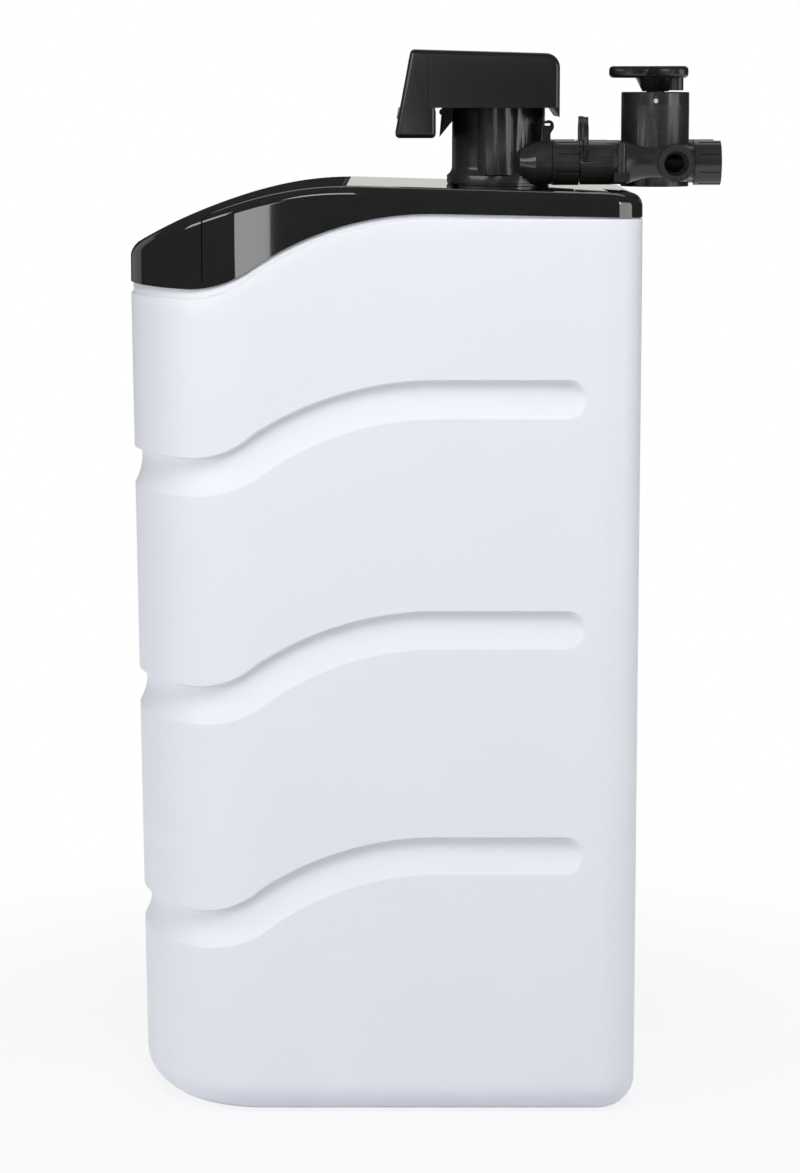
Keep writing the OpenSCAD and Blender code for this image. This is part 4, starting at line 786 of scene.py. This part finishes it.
@dataclass
class Hood(SubAssembly):
    """Gloss black hood over the cabinet, cut into the rear cover and the salt lid, in millimetres."""

    wall: float = 3.0
    crest_rise: float = 31.0
    crest_run: float = 282.0
    crest_r: float = 400.0
    deck_fall: float = 1.6
    lift: float = 0.02
    seat_gap: float = 0.3
    edge_round: float = 9.0
    rear_edge_round: float = 13.0
    nose_sink: float = 3.5
    sink_run: tuple[float, float] = (-50.0, -190.0)
    rail: float = 10.0
    ledge: float = 9.0
    ledge_run: float = 46.2
    ledge_tuck: float = 2.0
    seam_run: float = 79.0
    hinge_run: float = 212.0
    gap: float = 0.8
    barrel_r: float = 4.0
    barrel_sides: int = 32
    side_shares: tuple[float, ...] = (0.0, 0.4, 0.8, 0.98)
    round_rows: int = 10
    rim_slack: float = 1.0
    seam_bevel: float = 0.5
    neck_hole_r: float = 46.5
    line_hole_r: float = 9.0
    line_at: Point = (-30.0, 66.0)

    @property
    def seam_x(self) -> float:
        """Place of the lid's side seams."""
        return self.seam_run - PLAN.half_depth

    @property
    def hinge_x(self) -> float:
        """Place of the lid's hinge."""
        return self.hinge_run - PLAN.half_depth

    @property
    def shell_edge(self) -> Edge:
        """How the edges and the wall of a shell are finished."""
        return Edge(wall=self.wall, bevel=self.seam_bevel, limit=SHELL_CORNER)

    def top(self, x: float) -> float:
        """Height of the hood's upper surface.

        Args:
            x: place along the cabinet.

        Returns:
            The height, on the curved panel in front or the sloping deck behind it.
        """
        crest_x = PLAN.half_depth - self.crest_run
        crest_z = SHOULDER + self.crest_rise
        fall = math.radians(self.deck_fall)
        deck_x = crest_x + self.crest_r * math.sin(fall)
        if x < deck_x:
            return crest_z - self.crest_r + math.sqrt(self.crest_r ** 2 - (x - crest_x) ** 2)
        return crest_z - self.crest_r * (1 - math.cos(fall)) - math.tan(fall) * (x - deck_x)

    def sink(self, x: float, y: float) -> float:
        """How far the lid's top has sunk towards the nose.

        Args:
            x: place of the top's edge along the cabinet.
            y: place of the edge across it.

        Returns:
            The fall of the strip that crosses the top from there.
        """
        start, full = self.sink_run
        share = min(1.0, max(0.0, (start - x) / (start - full)))
        return self.nose_sink * share * share * (3.0 - 2.0 * share) * (y / PLAN.half_width) ** 2

    def low(self, x: float) -> float:
        """Height of the hood's lower edge at x."""
        return shoulder_height(x) + self.seat_gap + self.lift * (PLAN.half_depth - x)

    def surface(self, inset: float, drop: float) -> BMesh:
        """Outer surface of the whole hood.

        Args:
            inset: how far it is drawn in.
            drop: how far its top is lowered.

        Returns:
            The open surface, from the lower edge over the top.
        """
        plain = PLAN.ring(inset)
        count = len(plain)
        rounds = []
        for x, _ in PLAN.ring(0.0):
            rear = max(0.0, (x - PLAN.half_depth + PLAN.rear_r) / PLAN.rear_r)
            rounds.append(self.edge_round + rear * (self.rear_edge_round - self.edge_round) - inset)
        lines = []
        rings = {}
        for k in range(self.round_rows + 1):
            angle = math.pi / 2 * k / self.round_rows
            line = []
            for i in range(count):
                depth = round(inset + rounds[i] * (1 - math.cos(angle)), 4)
                if depth not in rings:
                    rings[depth] = PLAN.ring(depth)
                x, y = rings[depth][i]
                height = self.top(x) - self.sink(x, y) - drop
                line.append(Vector((x, y, height - rounds[i] * (1 - math.sin(angle)))))
            lines.append(line)
        foot = [Vector((x, y, self.low(x))) for x, y in plain]
        side = [[foot[i].lerp(lines[0][i], share) for i in range(count)] for share in self.side_shares]
        lines = side + lines
        bm = bmesh.new()
        wrap_grid(bm, count, len(lines) - 1, lambda i, j: lines[j][i % count])
        close_across(bm, rim_edges(bm, lambda p: p.z > self.low(p.x) + self.rim_slack))
        bmesh.ops.recalc_face_normals(bm, faces=bm.faces)
        return bm

    def cut_seams(self, bm: BMesh, seam_x: float, panel_half: float, hinge_x: float) -> None:
        """Cut the hood along the seams between the cover and the lid.

        Args:
            bm: the hood's surface.
            seam_x: place of the side seams.
            panel_half: half the width of the panel between the rails.
            hinge_x: place of the seam along the hinge.
        """
        cut(bm, (seam_x, 0, 0), (1, 0, 0))
        cut(bm, (hinge_x, 0, 0), (1, 0, 0))
        for side in (-1, 1):
            cut(bm, (0, side * panel_half, 0), (0, 1, 0))

    def pierce(self, bm: BMesh) -> BMesh:
        """Open the deck for the tank's neck and the brine line.

        Args:
            bm: the open cover, which is used up.

        Returns:
            The cover with both holes.
        """
        holes = [(VALVE.x, 0.0, self.neck_hole_r),
                 (VALVE.x + self.line_at[0], self.line_at[1], self.line_hole_r)]
        tool = bmesh.new()
        for x, y, r in holes:
            cylinder(tool, (x, y, self.top(x) - 2 * self.wall), r, r, 4 * self.wall)
        pierced = carve(bm, tool)
        keep_faces(pierced, lambda p: p.z > self.low(p.x) - self.rim_slack and all(
            math.hypot(p.x - x, p.y - y) >= r - MERGE_MM for x, y, r in holes))
        return pierced

    def build_lid(self) -> list[Object]:
        """Build the salt lid with its hinge barrel.

        Returns:
            The lid's shell and the barrel.
        """
        bm = self.surface(0.0, 0.0)
        seam_x = self.seam_x - self.gap
        panel = PLAN.half_width - self.rail - self.gap
        self.cut_seams(bm, seam_x, panel, self.hinge_x)
        keep_faces(bm, lambda p: p.x < seam_x or (abs(p.y) < panel and p.x < self.hinge_x))
        lid = make_piece("salt_lid_shell", bm, Body.LID.value, GLOSS, ["salt_lid"], self.shell_edge)
        barrel = bmesh.new()
        cylinder(barrel, (self.hinge_x, panel, self.top(self.hinge_x) - self.barrel_r), self.barrel_r,
                 self.barrel_r, 2 * panel, Matrix.Rotation(math.pi / 2, 3, "X"), self.barrel_sides)
        return [lid, make_piece("salt_lid_barrel", barrel, Body.LID.value, HINGE, ["salt_lid"],
                                Edge(bevel=self.seam_bevel))]

    def build_cover(self) -> list[Object]:
        """Build the rear cover with the ledges that the lid rests on.

        Returns:
            The cover's shell and the ledges.
        """
        bm = self.surface(0.0, 0.0)
        hinge_x = self.hinge_x + self.barrel_r + self.gap
        panel = PLAN.half_width - self.rail
        self.cut_seams(bm, self.seam_x, panel, hinge_x)
        keep_faces(bm, lambda p: p.x > self.seam_x and (abs(p.y) > panel or p.x > hinge_x))
        bm = self.pierce(bm)
        cover = make_piece("top_cover_shell", bm, Body.FRAME.value, GLOSS, ["top_cover"], self.shell_edge)
        ledge = self.surface(self.wall, self.wall + self.seat_gap)
        inner = panel - self.ledge
        outer = panel + self.ledge_tuck
        start_x = self.seam_x + self.ledge_run
        end_x = self.hinge_x - 2 * self.barrel_r
        self.cut_seams(ledge, start_x, inner, end_x)
        for side in (-1, 1):
            cut(ledge, (0, side * outer, 0), (0, 1, 0))
        keep_faces(ledge, lambda p: start_x < p.x < end_x and inner < abs(p.y) < outer)
        return [cover, make_piece("top_cover_ledges", ledge, Body.FRAME.value, GLOSS, ["top_cover"],
                                  self.shell_edge)]

    def build(self) -> list[Object]:
        """Build the cover and the lid, and return their pieces."""
        return self.build_cover() + self.build_lid()


# Control head, collar and knob

@dataclass
class Head(SubAssembly):
    """Rear hood and front fascia of the control head, in millimetres from the valve's axis and neck."""

    low: float = 73.5
    height: float = 56.2
    front: float = 103.0
    rear: float = 57.5
    drop: float = 29.2
    lean: float = 10.1
    fall: float = 3.6
    half_width: float = 70.0
    wall: float = 3.0
    top_round: float = 4.5
    rear_round: float = 14.0
    rim_round: float = 5.4
    foot_round: float = 4.4
    least_round: float = 0.6
    corner_steps: int = 6
    rear_steps: int = 10
    rim_steps: int = 6
    edge_bevel: float = 0.3
    split_run: float = 32.4
    drop_run: float = 40.3
    split_gap: float = 0.4
    seat: float = 0.2
    tooth: Triple = (6.0, 9.0, 132.0)
    tooth_sink: float = 0.1
    window: Triple = (64.0, 26.0, 52.0)
    key_r: float = 5.8
    key_rise: float = 24.0
    key_pitch: float = 22.0
    key_places: tuple[float, ...] = (-1.5, -0.5, 0.5, 1.5)

    def outline(self, notched: bool, inset: float, hollow: bool) -> list[Point]:
        """Side view of the head.

        Args:
            notched: whether the underside steps up behind the fascia.
            inset: how far the outline is drawn in.
            hollow: whether it is that of the space inside, which is open below.

        Returns:
            Its points as (x, z) in the object's frame.
        """
        lean = math.radians(self.lean)
        foot = self.low - self.drop + inset
        top = self.low + self.height - inset
        rear = self.rear - inset
        step = self.low - inset if hollow else self.low + inset
        slope = math.degrees(math.atan(self.fall / (self.front + self.rear)))
        face_top = -self.front + (self.height + self.drop) * math.tan(lean) + inset
        top_r = max(self.top_round - inset, self.least_round)
        rear_r = self.rear_round - inset
        foot_r = max(self.foot_round - inset, self.least_round)
        face_foot = -self.front + (inset + foot_r + (inset + foot_r) * math.sin(lean)) / math.cos(lean)
        points = arc(face_foot, foot + foot_r, foot_r, 270, 180 - self.lean, self.corner_steps)
        points += arc(face_top + top_r, top - top_r, top_r, 180 - self.lean, 90 + slope, self.corner_steps)
        points += arc(rear - rear_r, top - self.fall - rear_r, rear_r, 90 - slope, 0, self.rear_steps)
        drop_x = self.drop_run - self.front - inset
        if notched:
            points += [(rear, step), (drop_x, step)]
            points += arc(drop_x - foot_r, foot + foot_r, foot_r, 0, -90, self.corner_steps)
        else:
            points.append((rear, foot))
        return [(VALVE.x + x, VALVE.z + z) for x, z in points]

    def block(self, notched: bool, hollow: bool = False) -> BMesh:
        """Closed block of the head, or of the space inside it.

        Args:
            notched: whether its underside steps up behind the fascia.
            hollow: whether it is the space inside the walls.

        Returns:
            Its mesh.
        """
        draw_in = self.wall if hollow else 0.0
        rim = self.least_round if hollow else self.rim_round
        half = self.half_width - draw_in
        lines = []
        for k in range(self.rim_steps + 1):
            angle = math.pi / 2 * k / self.rim_steps
            side = self.outline(notched, draw_in + rim * (1 - math.sin(angle)), hollow)
            lines.append([Vector((x, rim * (1 - math.cos(angle)) - half, z)) for x, z in side])
        lines += [[Vector((p.x, -p.y, p.z)) for p in line] for line in reversed(lines)]
        bm = bmesh.new()
        count = len(lines[0])
        wrap_grid(bm, count, len(lines) - 1, lambda i, j: lines[j][i % count])
        bmesh.ops.holes_fill(bm, edges=rim_edges(bm, lambda p: True), sides=0)
        return bm

    def on_face(self, y: float, rise: float) -> Vector:
        """Point of the sloping face.

        Args:
            y: its place across the face.
            rise: its way up the face from the foot.

        Returns:
            The point in the object's frame.
        """
        lean = math.radians(self.lean)
        up = self.low - self.drop + rise * math.cos(lean)
        return VALVE + Vector((-self.front + rise * math.sin(lean), y, up))

    def build_hood(self) -> list[Object]:
        """Build the rear hood with the tooth under its rear edge.

        Returns:
            The hood and the tooth.
        """
        split = VALVE.x - self.front + self.split_run + self.split_gap
        low = VALVE.z + self.low
        rear = VALVE.x + self.rear
        far = 2 * self.front
        bm = carve(self.block(False),
                   box((split - far, -far, low - far), (split, far, low + far)),
                   box((split - far, -far, low - far), (split + far, far, low)),
                   self.block(False, True))
        hood = make_piece("head_hood_shell", bm, Body.FRAME.value, GRAINED, ["head_hood"],
                          Edge(bevel=self.edge_bevel, limit=SHELL_CORNER))
        run, depth, width = self.tooth
        top = low + self.tooth_sink
        tooth = bmesh.new()
        prism(tooth, [(rear - run, top), (rear, top), (rear, low - depth)], -width / 2, width / 2)
        return [hood, make_piece("head_hood_tooth", tooth, Body.FRAME.value, GRAINED, ["head_hood"],
                                 Edge(bevel=self.edge_bevel))]

    def build_fascia(self) -> Object:
        """Build the fascia with its window and key holes.

        Returns:
            The fascia.
        """
        turn = Matrix.Rotation(math.radians(90.0 + self.lean), 3, "Y")
        inward = turn @ Vector((0.0, 0.0, 1.0))
        width, height, rise = self.window
        pane = box((-height / 2, -width / 2, -2 * self.wall), (height / 2, width / 2, 2 * self.wall))
        bmesh.ops.rotate(pane, verts=pane.verts, matrix=turn)
        bmesh.ops.translate(pane, verts=pane.verts, vec=self.on_face(0.0, rise + height / 2))
        keys = bmesh.new()
        for k in self.key_places:
            foot = self.on_face(k * self.key_pitch, self.key_rise) - 2 * self.wall * inward
            cylinder(keys, foot, self.key_r, self.key_r, 4 * self.wall, turn)
        split = VALVE.x - self.front + self.split_run
        drop_x = VALVE.x - self.front + self.drop_run
        low = VALVE.z + self.low
        far = 2 * self.front
        bm = carve(self.block(True),
                   box((split, -far, low + self.seat), (split + far, far, low + far)),
                   box((drop_x, -far, low - self.seat), (drop_x + far, far, low + far)),
                   self.block(True, True), pane, keys)
        return make_piece("front_fascia_shell", bm, Body.FRAME.value, GRAINED, ["front_fascia"],
                          Edge(bevel=self.edge_bevel, limit=SHELL_CORNER))

    def build(self) -> list[Object]:
        """Build the hood and the fascia, and return their pieces."""
        return [*self.build_hood(), self.build_fascia()]


@dataclass
class Collar(SubAssembly):
    """Moulded ring between the valve's flange and the deck, whose height at x is given, in millimetres."""

    deck: Callable[[float], float]
    outer_r: float = 50.4
    inner_r: float = 44.8
    seat: float = 0.2
    steps: int = 96
    bevel: float = 0.4

    def point(self, step: int, corner: int) -> Vector:
        """Point of the ring.

        Args:
            step: its step round the ring.
            corner: its corner of the section, from the inner lower one outwards.

        Returns:
            Its place.
        """
        angle = 2 * math.pi * step / self.steps
        r = self.outer_r if corner in (1, 2) else self.inner_r
        x = VALVE.x + r * math.cos(angle)
        z = VALVE.z - self.seat if corner in (2, 3) else self.deck(x) + self.seat
        return Vector((x, r * math.sin(angle), z))

    def build(self) -> list[Object]:
        """Build the ring down to the sloping deck.

        Returns:
            The ring.
        """
        bm = bmesh.new()
        wrap_grid(bm, self.steps, 4, self.point)
        return [make_piece("valve_body_collar", bm, Body.FRAME.value, SATIN, ["valve_body"],
                           Edge(bevel=self.bevel))]


@dataclass
class Knob(SubAssembly):
    """Three-lobed knob of the bypass, in millimetres from the valve's axis and neck."""

    run: float = 155.0
    plate_low: float = 102.3
    plate_t: float = 11.6
    lobes: int = 3
    mean_r: float = 33.0
    swing: float = 13.0
    rim_round: float = 4.0
    rim_steps: int = 6
    hub_height: float = 13.1
    hub_r: tuple[float, float] = (13.0, 20.0)
    leg_r: float = 7.0
    leg_ring: float = 36.0
    leg_angle: float = 60.0
    overlap: float = 1.0
    points: int = 144
    bevel: float = 0.4

    def build(self) -> list[Object]:
        """Build the lobed plate, its hub and the two legs under it.

        Returns:
            The knob.
        """
        bm = bmesh.new()
        plate = bmesh.ops.create_circle(bm, cap_ends=True, segments=self.points, radius=1.0)
        for vert in plate["verts"]:
            angle = math.atan2(vert.co.y, vert.co.x)
            vert.co *= self.mean_r - self.swing * math.cos(self.lobes * angle)
        extrude(bm, bm.faces, (0.0, 0.0, self.plate_t))
        rims = [e for e in bm.edges if abs(e.verts[0].co.z - e.verts[1].co.z) < MERGE_MM]
        bmesh.ops.bevel(bm, geom=rims, offset=self.rim_round, segments=self.rim_steps, profile=0.5,
                        affect="EDGES", clamp_overlap=True, material=-1)
        cylinder(bm, (0.0, 0.0, -self.hub_height), *self.hub_r, self.hub_height + self.overlap)
        for side in (-1, 1):
            angle = math.radians(side * self.leg_angle)
            foot = (self.leg_ring * math.cos(angle), self.leg_ring * math.sin(angle),
                    self.overlap - self.hub_height)
            cylinder(bm, foot, self.leg_r, self.leg_r, self.hub_height)
        bmesh.ops.translate(bm, verts=bm.verts, vec=VALVE + Vector((self.run, 0.0, self.plate_low)))
        return [make_piece("bypass_knob_shell", bm, Body.PLUG.value, KNOB, ["bypass_knob"],
                           Edge(bevel=self.bevel, limit=SHELL_CORNER))]


# Pieces that keep their CAD shape: those with rounded edges, in millimetres, and the rest

DRESSED = {
    "valve_body": (SATIN, 0.8), "union_nuts": (SATIN, 0.4), "rear_nuts": (SATIN, 0.4),
    "port_adaptors": (SATIN, 0.5), "retaining_clips": (GRAINED, 0.25), "bypass_body": (COARSE, 0.6),
    "bypass_bonnet": (SATIN, 0.4), "clamp_bolts": (SATIN, 0.4), "clamp_nuts": (SATIN, 0.5),
    "cover_latch": (SATIN, 0.4), "cable_hook": (GRAINED, 0.3), "drain_barb": (SATIN, 0.3),
    "brine_elbow": (SATIN, 0.5), "injector_cap": (SATIN, 0.5), "overflow_elbow": (SATIN, 0.4),
    "overflow_nut": (SATIN, 0.5), "key_up": (KEY, 0.6), "key_down": (KEY, 0.6), "key_menu": (KEY, 0.6),
    "key_confirm": (KEY, 0.6), "power_inlet": (SATIN, 0.4),
}
PLAIN = {
    "lid_hinge_pins": STEEL, "resin_tank": TANK, "tank_boot": SATIN, "resin_bed": RESIN, "riser_tube": MILK,
    "bottom_basket": MILK, "top_basket": MILK, "tank_oring": RUBBER, "brine_well": MILK,
    "brine_well_cap": MILK, "salt_grid": MILK, "brine_valve": MILK, "air_check": MILK, "float": MILK,
    "float_rod": STEEL, "brine_line": MILK, "disc_gasket": RUBBER, "fixed_disc": CERAMIC,
    "moving_disc": CERAMIC, "valve_stem": GEAR, "stem_oring": RUBBER, "top_cap": SATIN, "drive_gear": GEAR,
    "motor_pinion": BRASS, "drive_motor": MOTOR, "motor_bracket": STEEL, "head_base": SATIN,
    "head_screws": STEEL, "display_window": WINDOW, "circuit_board": BOARD, "meter_rotor": TURBINE,
    "bypass_rotor": MILK, "bonnet_screws": SCREW,
}


@dataclass
class CadPieces(SubAssembly):
    """The nodes whose CAD shape is right: some get rounded edges, all get a finish. Angles in degrees."""

    flat_angle: float = 0.5
    corner_angle: float = 32.0

    def body_of(self, node: str) -> str:
        """Name of the body that holds a node."""
        bodies = frame["record"]["behaviour"]["bodies"]
        return next(body for body, members in bodies.items() if node in members)

    def round_edges(self, node: str, finish: Finish, bevel: float) -> Object:
        """Stand a copy with rounded edges in for a node.

        Args:
            node: the CAD node.
            finish: the copy's finish.
            bevel: radius of its edges, in millimetres.

        Returns:
            The copy.
        """
        bm = bmesh.new()
        bm.from_mesh(frame["nodes"][node].data)
        bmesh.ops.scale(bm, vec=(1 / MM,) * 3, verts=bm.verts)
        bmesh.ops.remove_doubles(bm, verts=bm.verts, dist=MERGE_MM)
        bmesh.ops.dissolve_limit(bm, angle_limit=math.radians(self.flat_angle), verts=bm.verts,
                                 edges=bm.edges)
        return make_piece(node + "_dressed", bm, self.body_of(node), finish, [node],
                          Edge(bevel=bevel, limit=self.corner_angle))

    def build(self) -> list[Object]:
        """Round the edges of the shown nodes and give every node its finish.

        Returns:
            The rounded copies and the plain nodes.
        """
        pieces = [self.round_edges(node, finish, bevel) for node, (finish, bevel) in DRESSED.items()]
        for node, finish in PLAIN.items():
            piece = frame["nodes"][node]
            piece.data.materials.clear()
            piece.data.materials.append(finish.material())
            pieces.append(piece)
        return pieces


# Studio

@dataclass(frozen=True)
class Lamp:
    """A rectangular lamp: its place, the point that it faces, its width and height in metres, and watts."""

    name: str
    at: Triple
    aim: Triple
    size: tuple[float, float]
    power: float
    seen: Seen

    def stand(self) -> None:
        """Stand the lamp in the scene."""
        light = bpy.data.lights.new(self.name, "AREA")
        light.shape = "RECTANGLE"
        light.size, light.size_y = self.size
        light.energy = self.power
        lamp = bpy.data.objects.new(self.name, light)
        lamp.visible_camera = False
        lamp.visible_diffuse = self.seen is Seen.MATT
        lamp.visible_glossy = self.seen is Seen.GLOSS
        lamp.location = self.at
        lamp.rotation_euler = (Vector(self.aim) - Vector(self.at)).to_track_quat("-Z", "Y").to_euler()
        bpy.context.scene.collection.objects.link(lamp)


LAMPS = (
    Lamp("front_high", (0.2, -1.8, 2.9), (0.0, 0.0, 1.1), (1.8, 1.2), 48.5, Seen.MATT),
    Lamp("fill_left", (-3.0, -1.8, 1.3), (0.0, 0.0, 0.8), (1.6, 2.0), 49.0, Seen.MATT),
    Lamp("side_right", (2.7, -1.3, 1.4), (0.1, 0.0, 1.1), (2.0, 2.2), 24.0, Seen.MATT),
    Lamp("overhead", (0.0, 0.6, 3.4), (0.0, 0.0, 0.5), (2.4, 2.0), 12.0, Seen.MATT),
    Lamp("fill_rear", (0.6, 3.2, 1.8), (0.0, 0.0, 0.6), (2.4, 2.0), 30.0, Seen.MATT),
    Lamp("strip_left", (-0.82, -4.0, 0.62), (-0.82, 0.0, 0.62), (1.13, 0.66), 7.8, Seen.GLOSS),
    Lamp("strip_right", (2.96, -1.42, 0.9), (0.24, -0.15, 0.9), (2.18, 1.6), 25.0, Seen.GLOSS),
    Lamp("strip_rim", (-1.83, 2.73, 0.9), (-0.25, 0.0, 0.9), (1.34, 1.6), 0.9, Seen.GLOSS),
    Lamp("line_rail", (-0.23, -3.6, 2.0), (-0.2, 0.0, 0.9), (0.345, 0.7), 4.0, Seen.GLOSS),
    Lamp("line_nose", (-3.1, -2.2, 2.0), (-0.2, -0.1, 0.9), (3.4, 1.0), 44.0, Seen.GLOSS),
    Lamp("band_right", (2.9, -2.5, 1.4), (0.11, 0.0, 0.95), (0.3, 1.2), 5.0, Seen.GLOSS),
)
WHITE_LIGHT = (1.0, 1.0, 1.0, 1.0)
BLACK = (0.0, 0.0, 0.0, 1.0)


@dataclass
class Studio:
    """Pale floor, soft lights and the camera at the photograph's place, in metres."""

    camera_at: Triple = (0.0175, -3.3282, 1.0075)
    camera_tilt: float = 81.391
    lens: float = 102.2
    sensor: float = 36.0
    floor_size: float = 40.0
    floor_colour: tuple[float, ...] = (0.76, 0.76, 0.84, 1.0)
    floor_rough: float = 0.9
    floor_glow: float = 0.85
    fade_near: float = 0.3
    fade_far: float = 1.1
    wall_r: float = 4.6
    wall_height: float = 6.0
    wall_from: float = -178.6
    wall_to: float = 152.0
    wall_steps: int = 48
    ceiling_to: float = 2.0
    screen_tint: tuple[float, ...] = (1.0, 0.98, 0.94, 1.0)
    dark_glow: float = 0.02
    pale_glow: float = 0.6
    fill_colour: tuple[float, ...] = (0.86, 0.90, 1.0, 1.0)
    fill_strength: float = 0.18

    def background_share(self, tree: NodeTree) -> NodeSocket:
        """Tell the rays that should see the plain white background.

        Args:
            tree: the node tree of the floor or the world.

        Returns:
            The socket that is 1 for those rays.
        """
        rays = add_node(tree, "ShaderNodeLightPath").outputs
        share = rays["Is Camera Ray"]
        for other in ("Is Glossy Ray", "Is Transmission Ray"):
            share = add_math(tree, "MAXIMUM", share, rays[other])
        return share

    def floor(self) -> None:
        """Lay a pale floor that keeps a soft shadow."""
        paint = bpy.data.materials.new("floor_paint")
        paint.use_nodes = True
        tree = paint.node_tree
        shader = tree.nodes["Principled BSDF"]
        feed(tree, shader, {
            "Base Color": self.floor_colour, "Roughness": self.floor_rough, "Specular IOR Level": 0.0})
        glow = add_node(tree, "ShaderNodeEmission", {"Strength": 1.0})
        place = add_node(tree, "ShaderNodeTexCoord").outputs["Object"]
        away = add_node(tree, "ShaderNodeVectorMath", {0: place}, operation="LENGTH")
        fade = add_node(tree, "ShaderNodeMapRange", {
            "Value": away.outputs["Value"], "From Min": self.fade_near, "From Max": self.fade_far,
            "To Min": self.floor_glow, "To Max": 1.0}, interpolation_type="SMOOTHSTEP")
        share = add_math(tree, "MULTIPLY", self.background_share(tree), fade.outputs["Result"])
        mixed = add_node(tree, "ShaderNodeMixShader", {
            "Fac": share, 1: shader.outputs["BSDF"], 2: glow.outputs["Emission"]})
        feed(tree, tree.nodes["Material Output"], {"Surface": mixed.outputs["Shader"]})
        bm = bmesh.new()
        bmesh.ops.create_grid(bm, x_segments=1, y_segments=1, size=self.floor_size / 2)
        plane = add_object("floor", bm)
        plane.data.materials.append(paint)

    def round_wall(self, start: float, end: float) -> BMesh:
        """Upright wall round the object.

        Args:
            start: angle from the camera's side at which it starts.
            end: angle at which it ends.

        Returns:
            Its mesh.
        """
        bm = bmesh.new()
        foot = bm.verts.new((0.0, -self.wall_r, 0.0))
        side = bmesh.ops.extrude_vert_indiv(bm, verts=[foot])
        bmesh.ops.translate(bm, verts=side["verts"], vec=(0.0, 0.0, self.wall_height))
        bmesh.ops.rotate(bm, verts=bm.verts, matrix=Matrix.Rotation(math.radians(start), 3, "Z"))
        bmesh.ops.spin(bm, geom=bm.verts[:] + bm.edges[:], axis=(0, 0, 1), angle=math.radians(end - start),
                       steps=self.wall_steps)
        return bm

    def screen(self, name: str, bm: BMesh, glow: float) -> None:
        """Add a grey screen that only gloss surfaces see.

        Args:
            name: its name.
            bm: its mesh in metres, which is used up.
            glow: how light it looks.
        """
        paint = bpy.data.materials.new(name + "_paint")
        paint.use_nodes = True
        tree = paint.node_tree
        feed(tree, tree.nodes["Principled BSDF"], {
            "Base Color": BLACK, "Roughness": 1.0, "Specular IOR Level": 0.0,
            "Emission Color": self.screen_tint, "Emission Strength": glow})
        made = add_object(name, bm)
        made.data.materials.append(paint)
        made.visible_camera = False
        made.visible_diffuse = False
        made.visible_shadow = False

    def screens(self) -> None:
        """Put a dark wall and ceiling round the object, and a pale wall that the deck mirrors."""
        dark = self.round_wall(self.wall_from, self.wall_to)
        ceiling = bmesh.ops.create_grid(dark, x_segments=1, y_segments=1, size=1.0)
        run = (self.wall_r + self.ceiling_to) / 2
        bmesh.ops.scale(dark, vec=(self.wall_r, run, 1.0), verts=ceiling["verts"])
        bmesh.ops.translate(dark, vec=(0.0, self.ceiling_to - run, self.wall_height), verts=ceiling["verts"])
        self.screen("dark_screen", dark, self.dark_glow)
        self.screen("pale_screen", self.round_wall(self.wall_to, self.wall_from + 360.0), self.pale_glow)

    def world(self) -> None:
        """Give an even fill light, with a white background for what the camera sees."""
        made = bpy.data.worlds.new("studio")
        bpy.context.scene.world = made
        made.use_nodes = True
        tree = made.node_tree
        fill = tree.nodes["Background"]
        feed(tree, fill, {"Color": self.fill_colour, "Strength": self.fill_strength})
        white = add_node(tree, "ShaderNodeBackground", {"Color": WHITE_LIGHT, "Strength": 1.0})
        mixed = add_node(tree, "ShaderNodeMixShader", {
            "Fac": self.background_share(tree), 1: fill.outputs["Background"],
            2: white.outputs["Background"]})
        feed(tree, tree.nodes["World Output"], {"Surface": mixed.outputs["Shader"]})

    def camera(self) -> None:
        """Place the camera that was fitted to the photograph."""
        data = bpy.data.cameras.new("photo_camera")
        data.lens = self.lens
        data.sensor_width = self.sensor
        data.sensor_fit = "AUTO"
        camera = bpy.data.objects.new("photo_camera", data)
        camera.location = self.camera_at
        camera.rotation_euler = (math.radians(self.camera_tilt), 0.0, 0.0)
        bpy.context.scene.collection.objects.link(camera)
        bpy.context.scene.camera = camera

    def build(self) -> None:
        """Set the stage."""
        bpy.context.scene.view_settings.view_transform = "Standard"
        self.camera()
        self.floor()
        self.screens()
        self.world()
        for lamp in LAMPS:
            lamp.stand()


def main() -> None:
    """Set the stage, build every sub-assembly in order and report its pieces."""
    logging.basicConfig(level=logging.INFO, format="%(message)s")
    Studio().build()
    hood = Hood()
    for assembly in (Cabinet(), hood, Head(), Collar(hood.top), Knob(), CadPieces()):
        for piece in assembly.build():
            LOG.info("%s: %d faces", piece.name, len(piece.data.polygons))


if __name__ == "__main__":
    main()
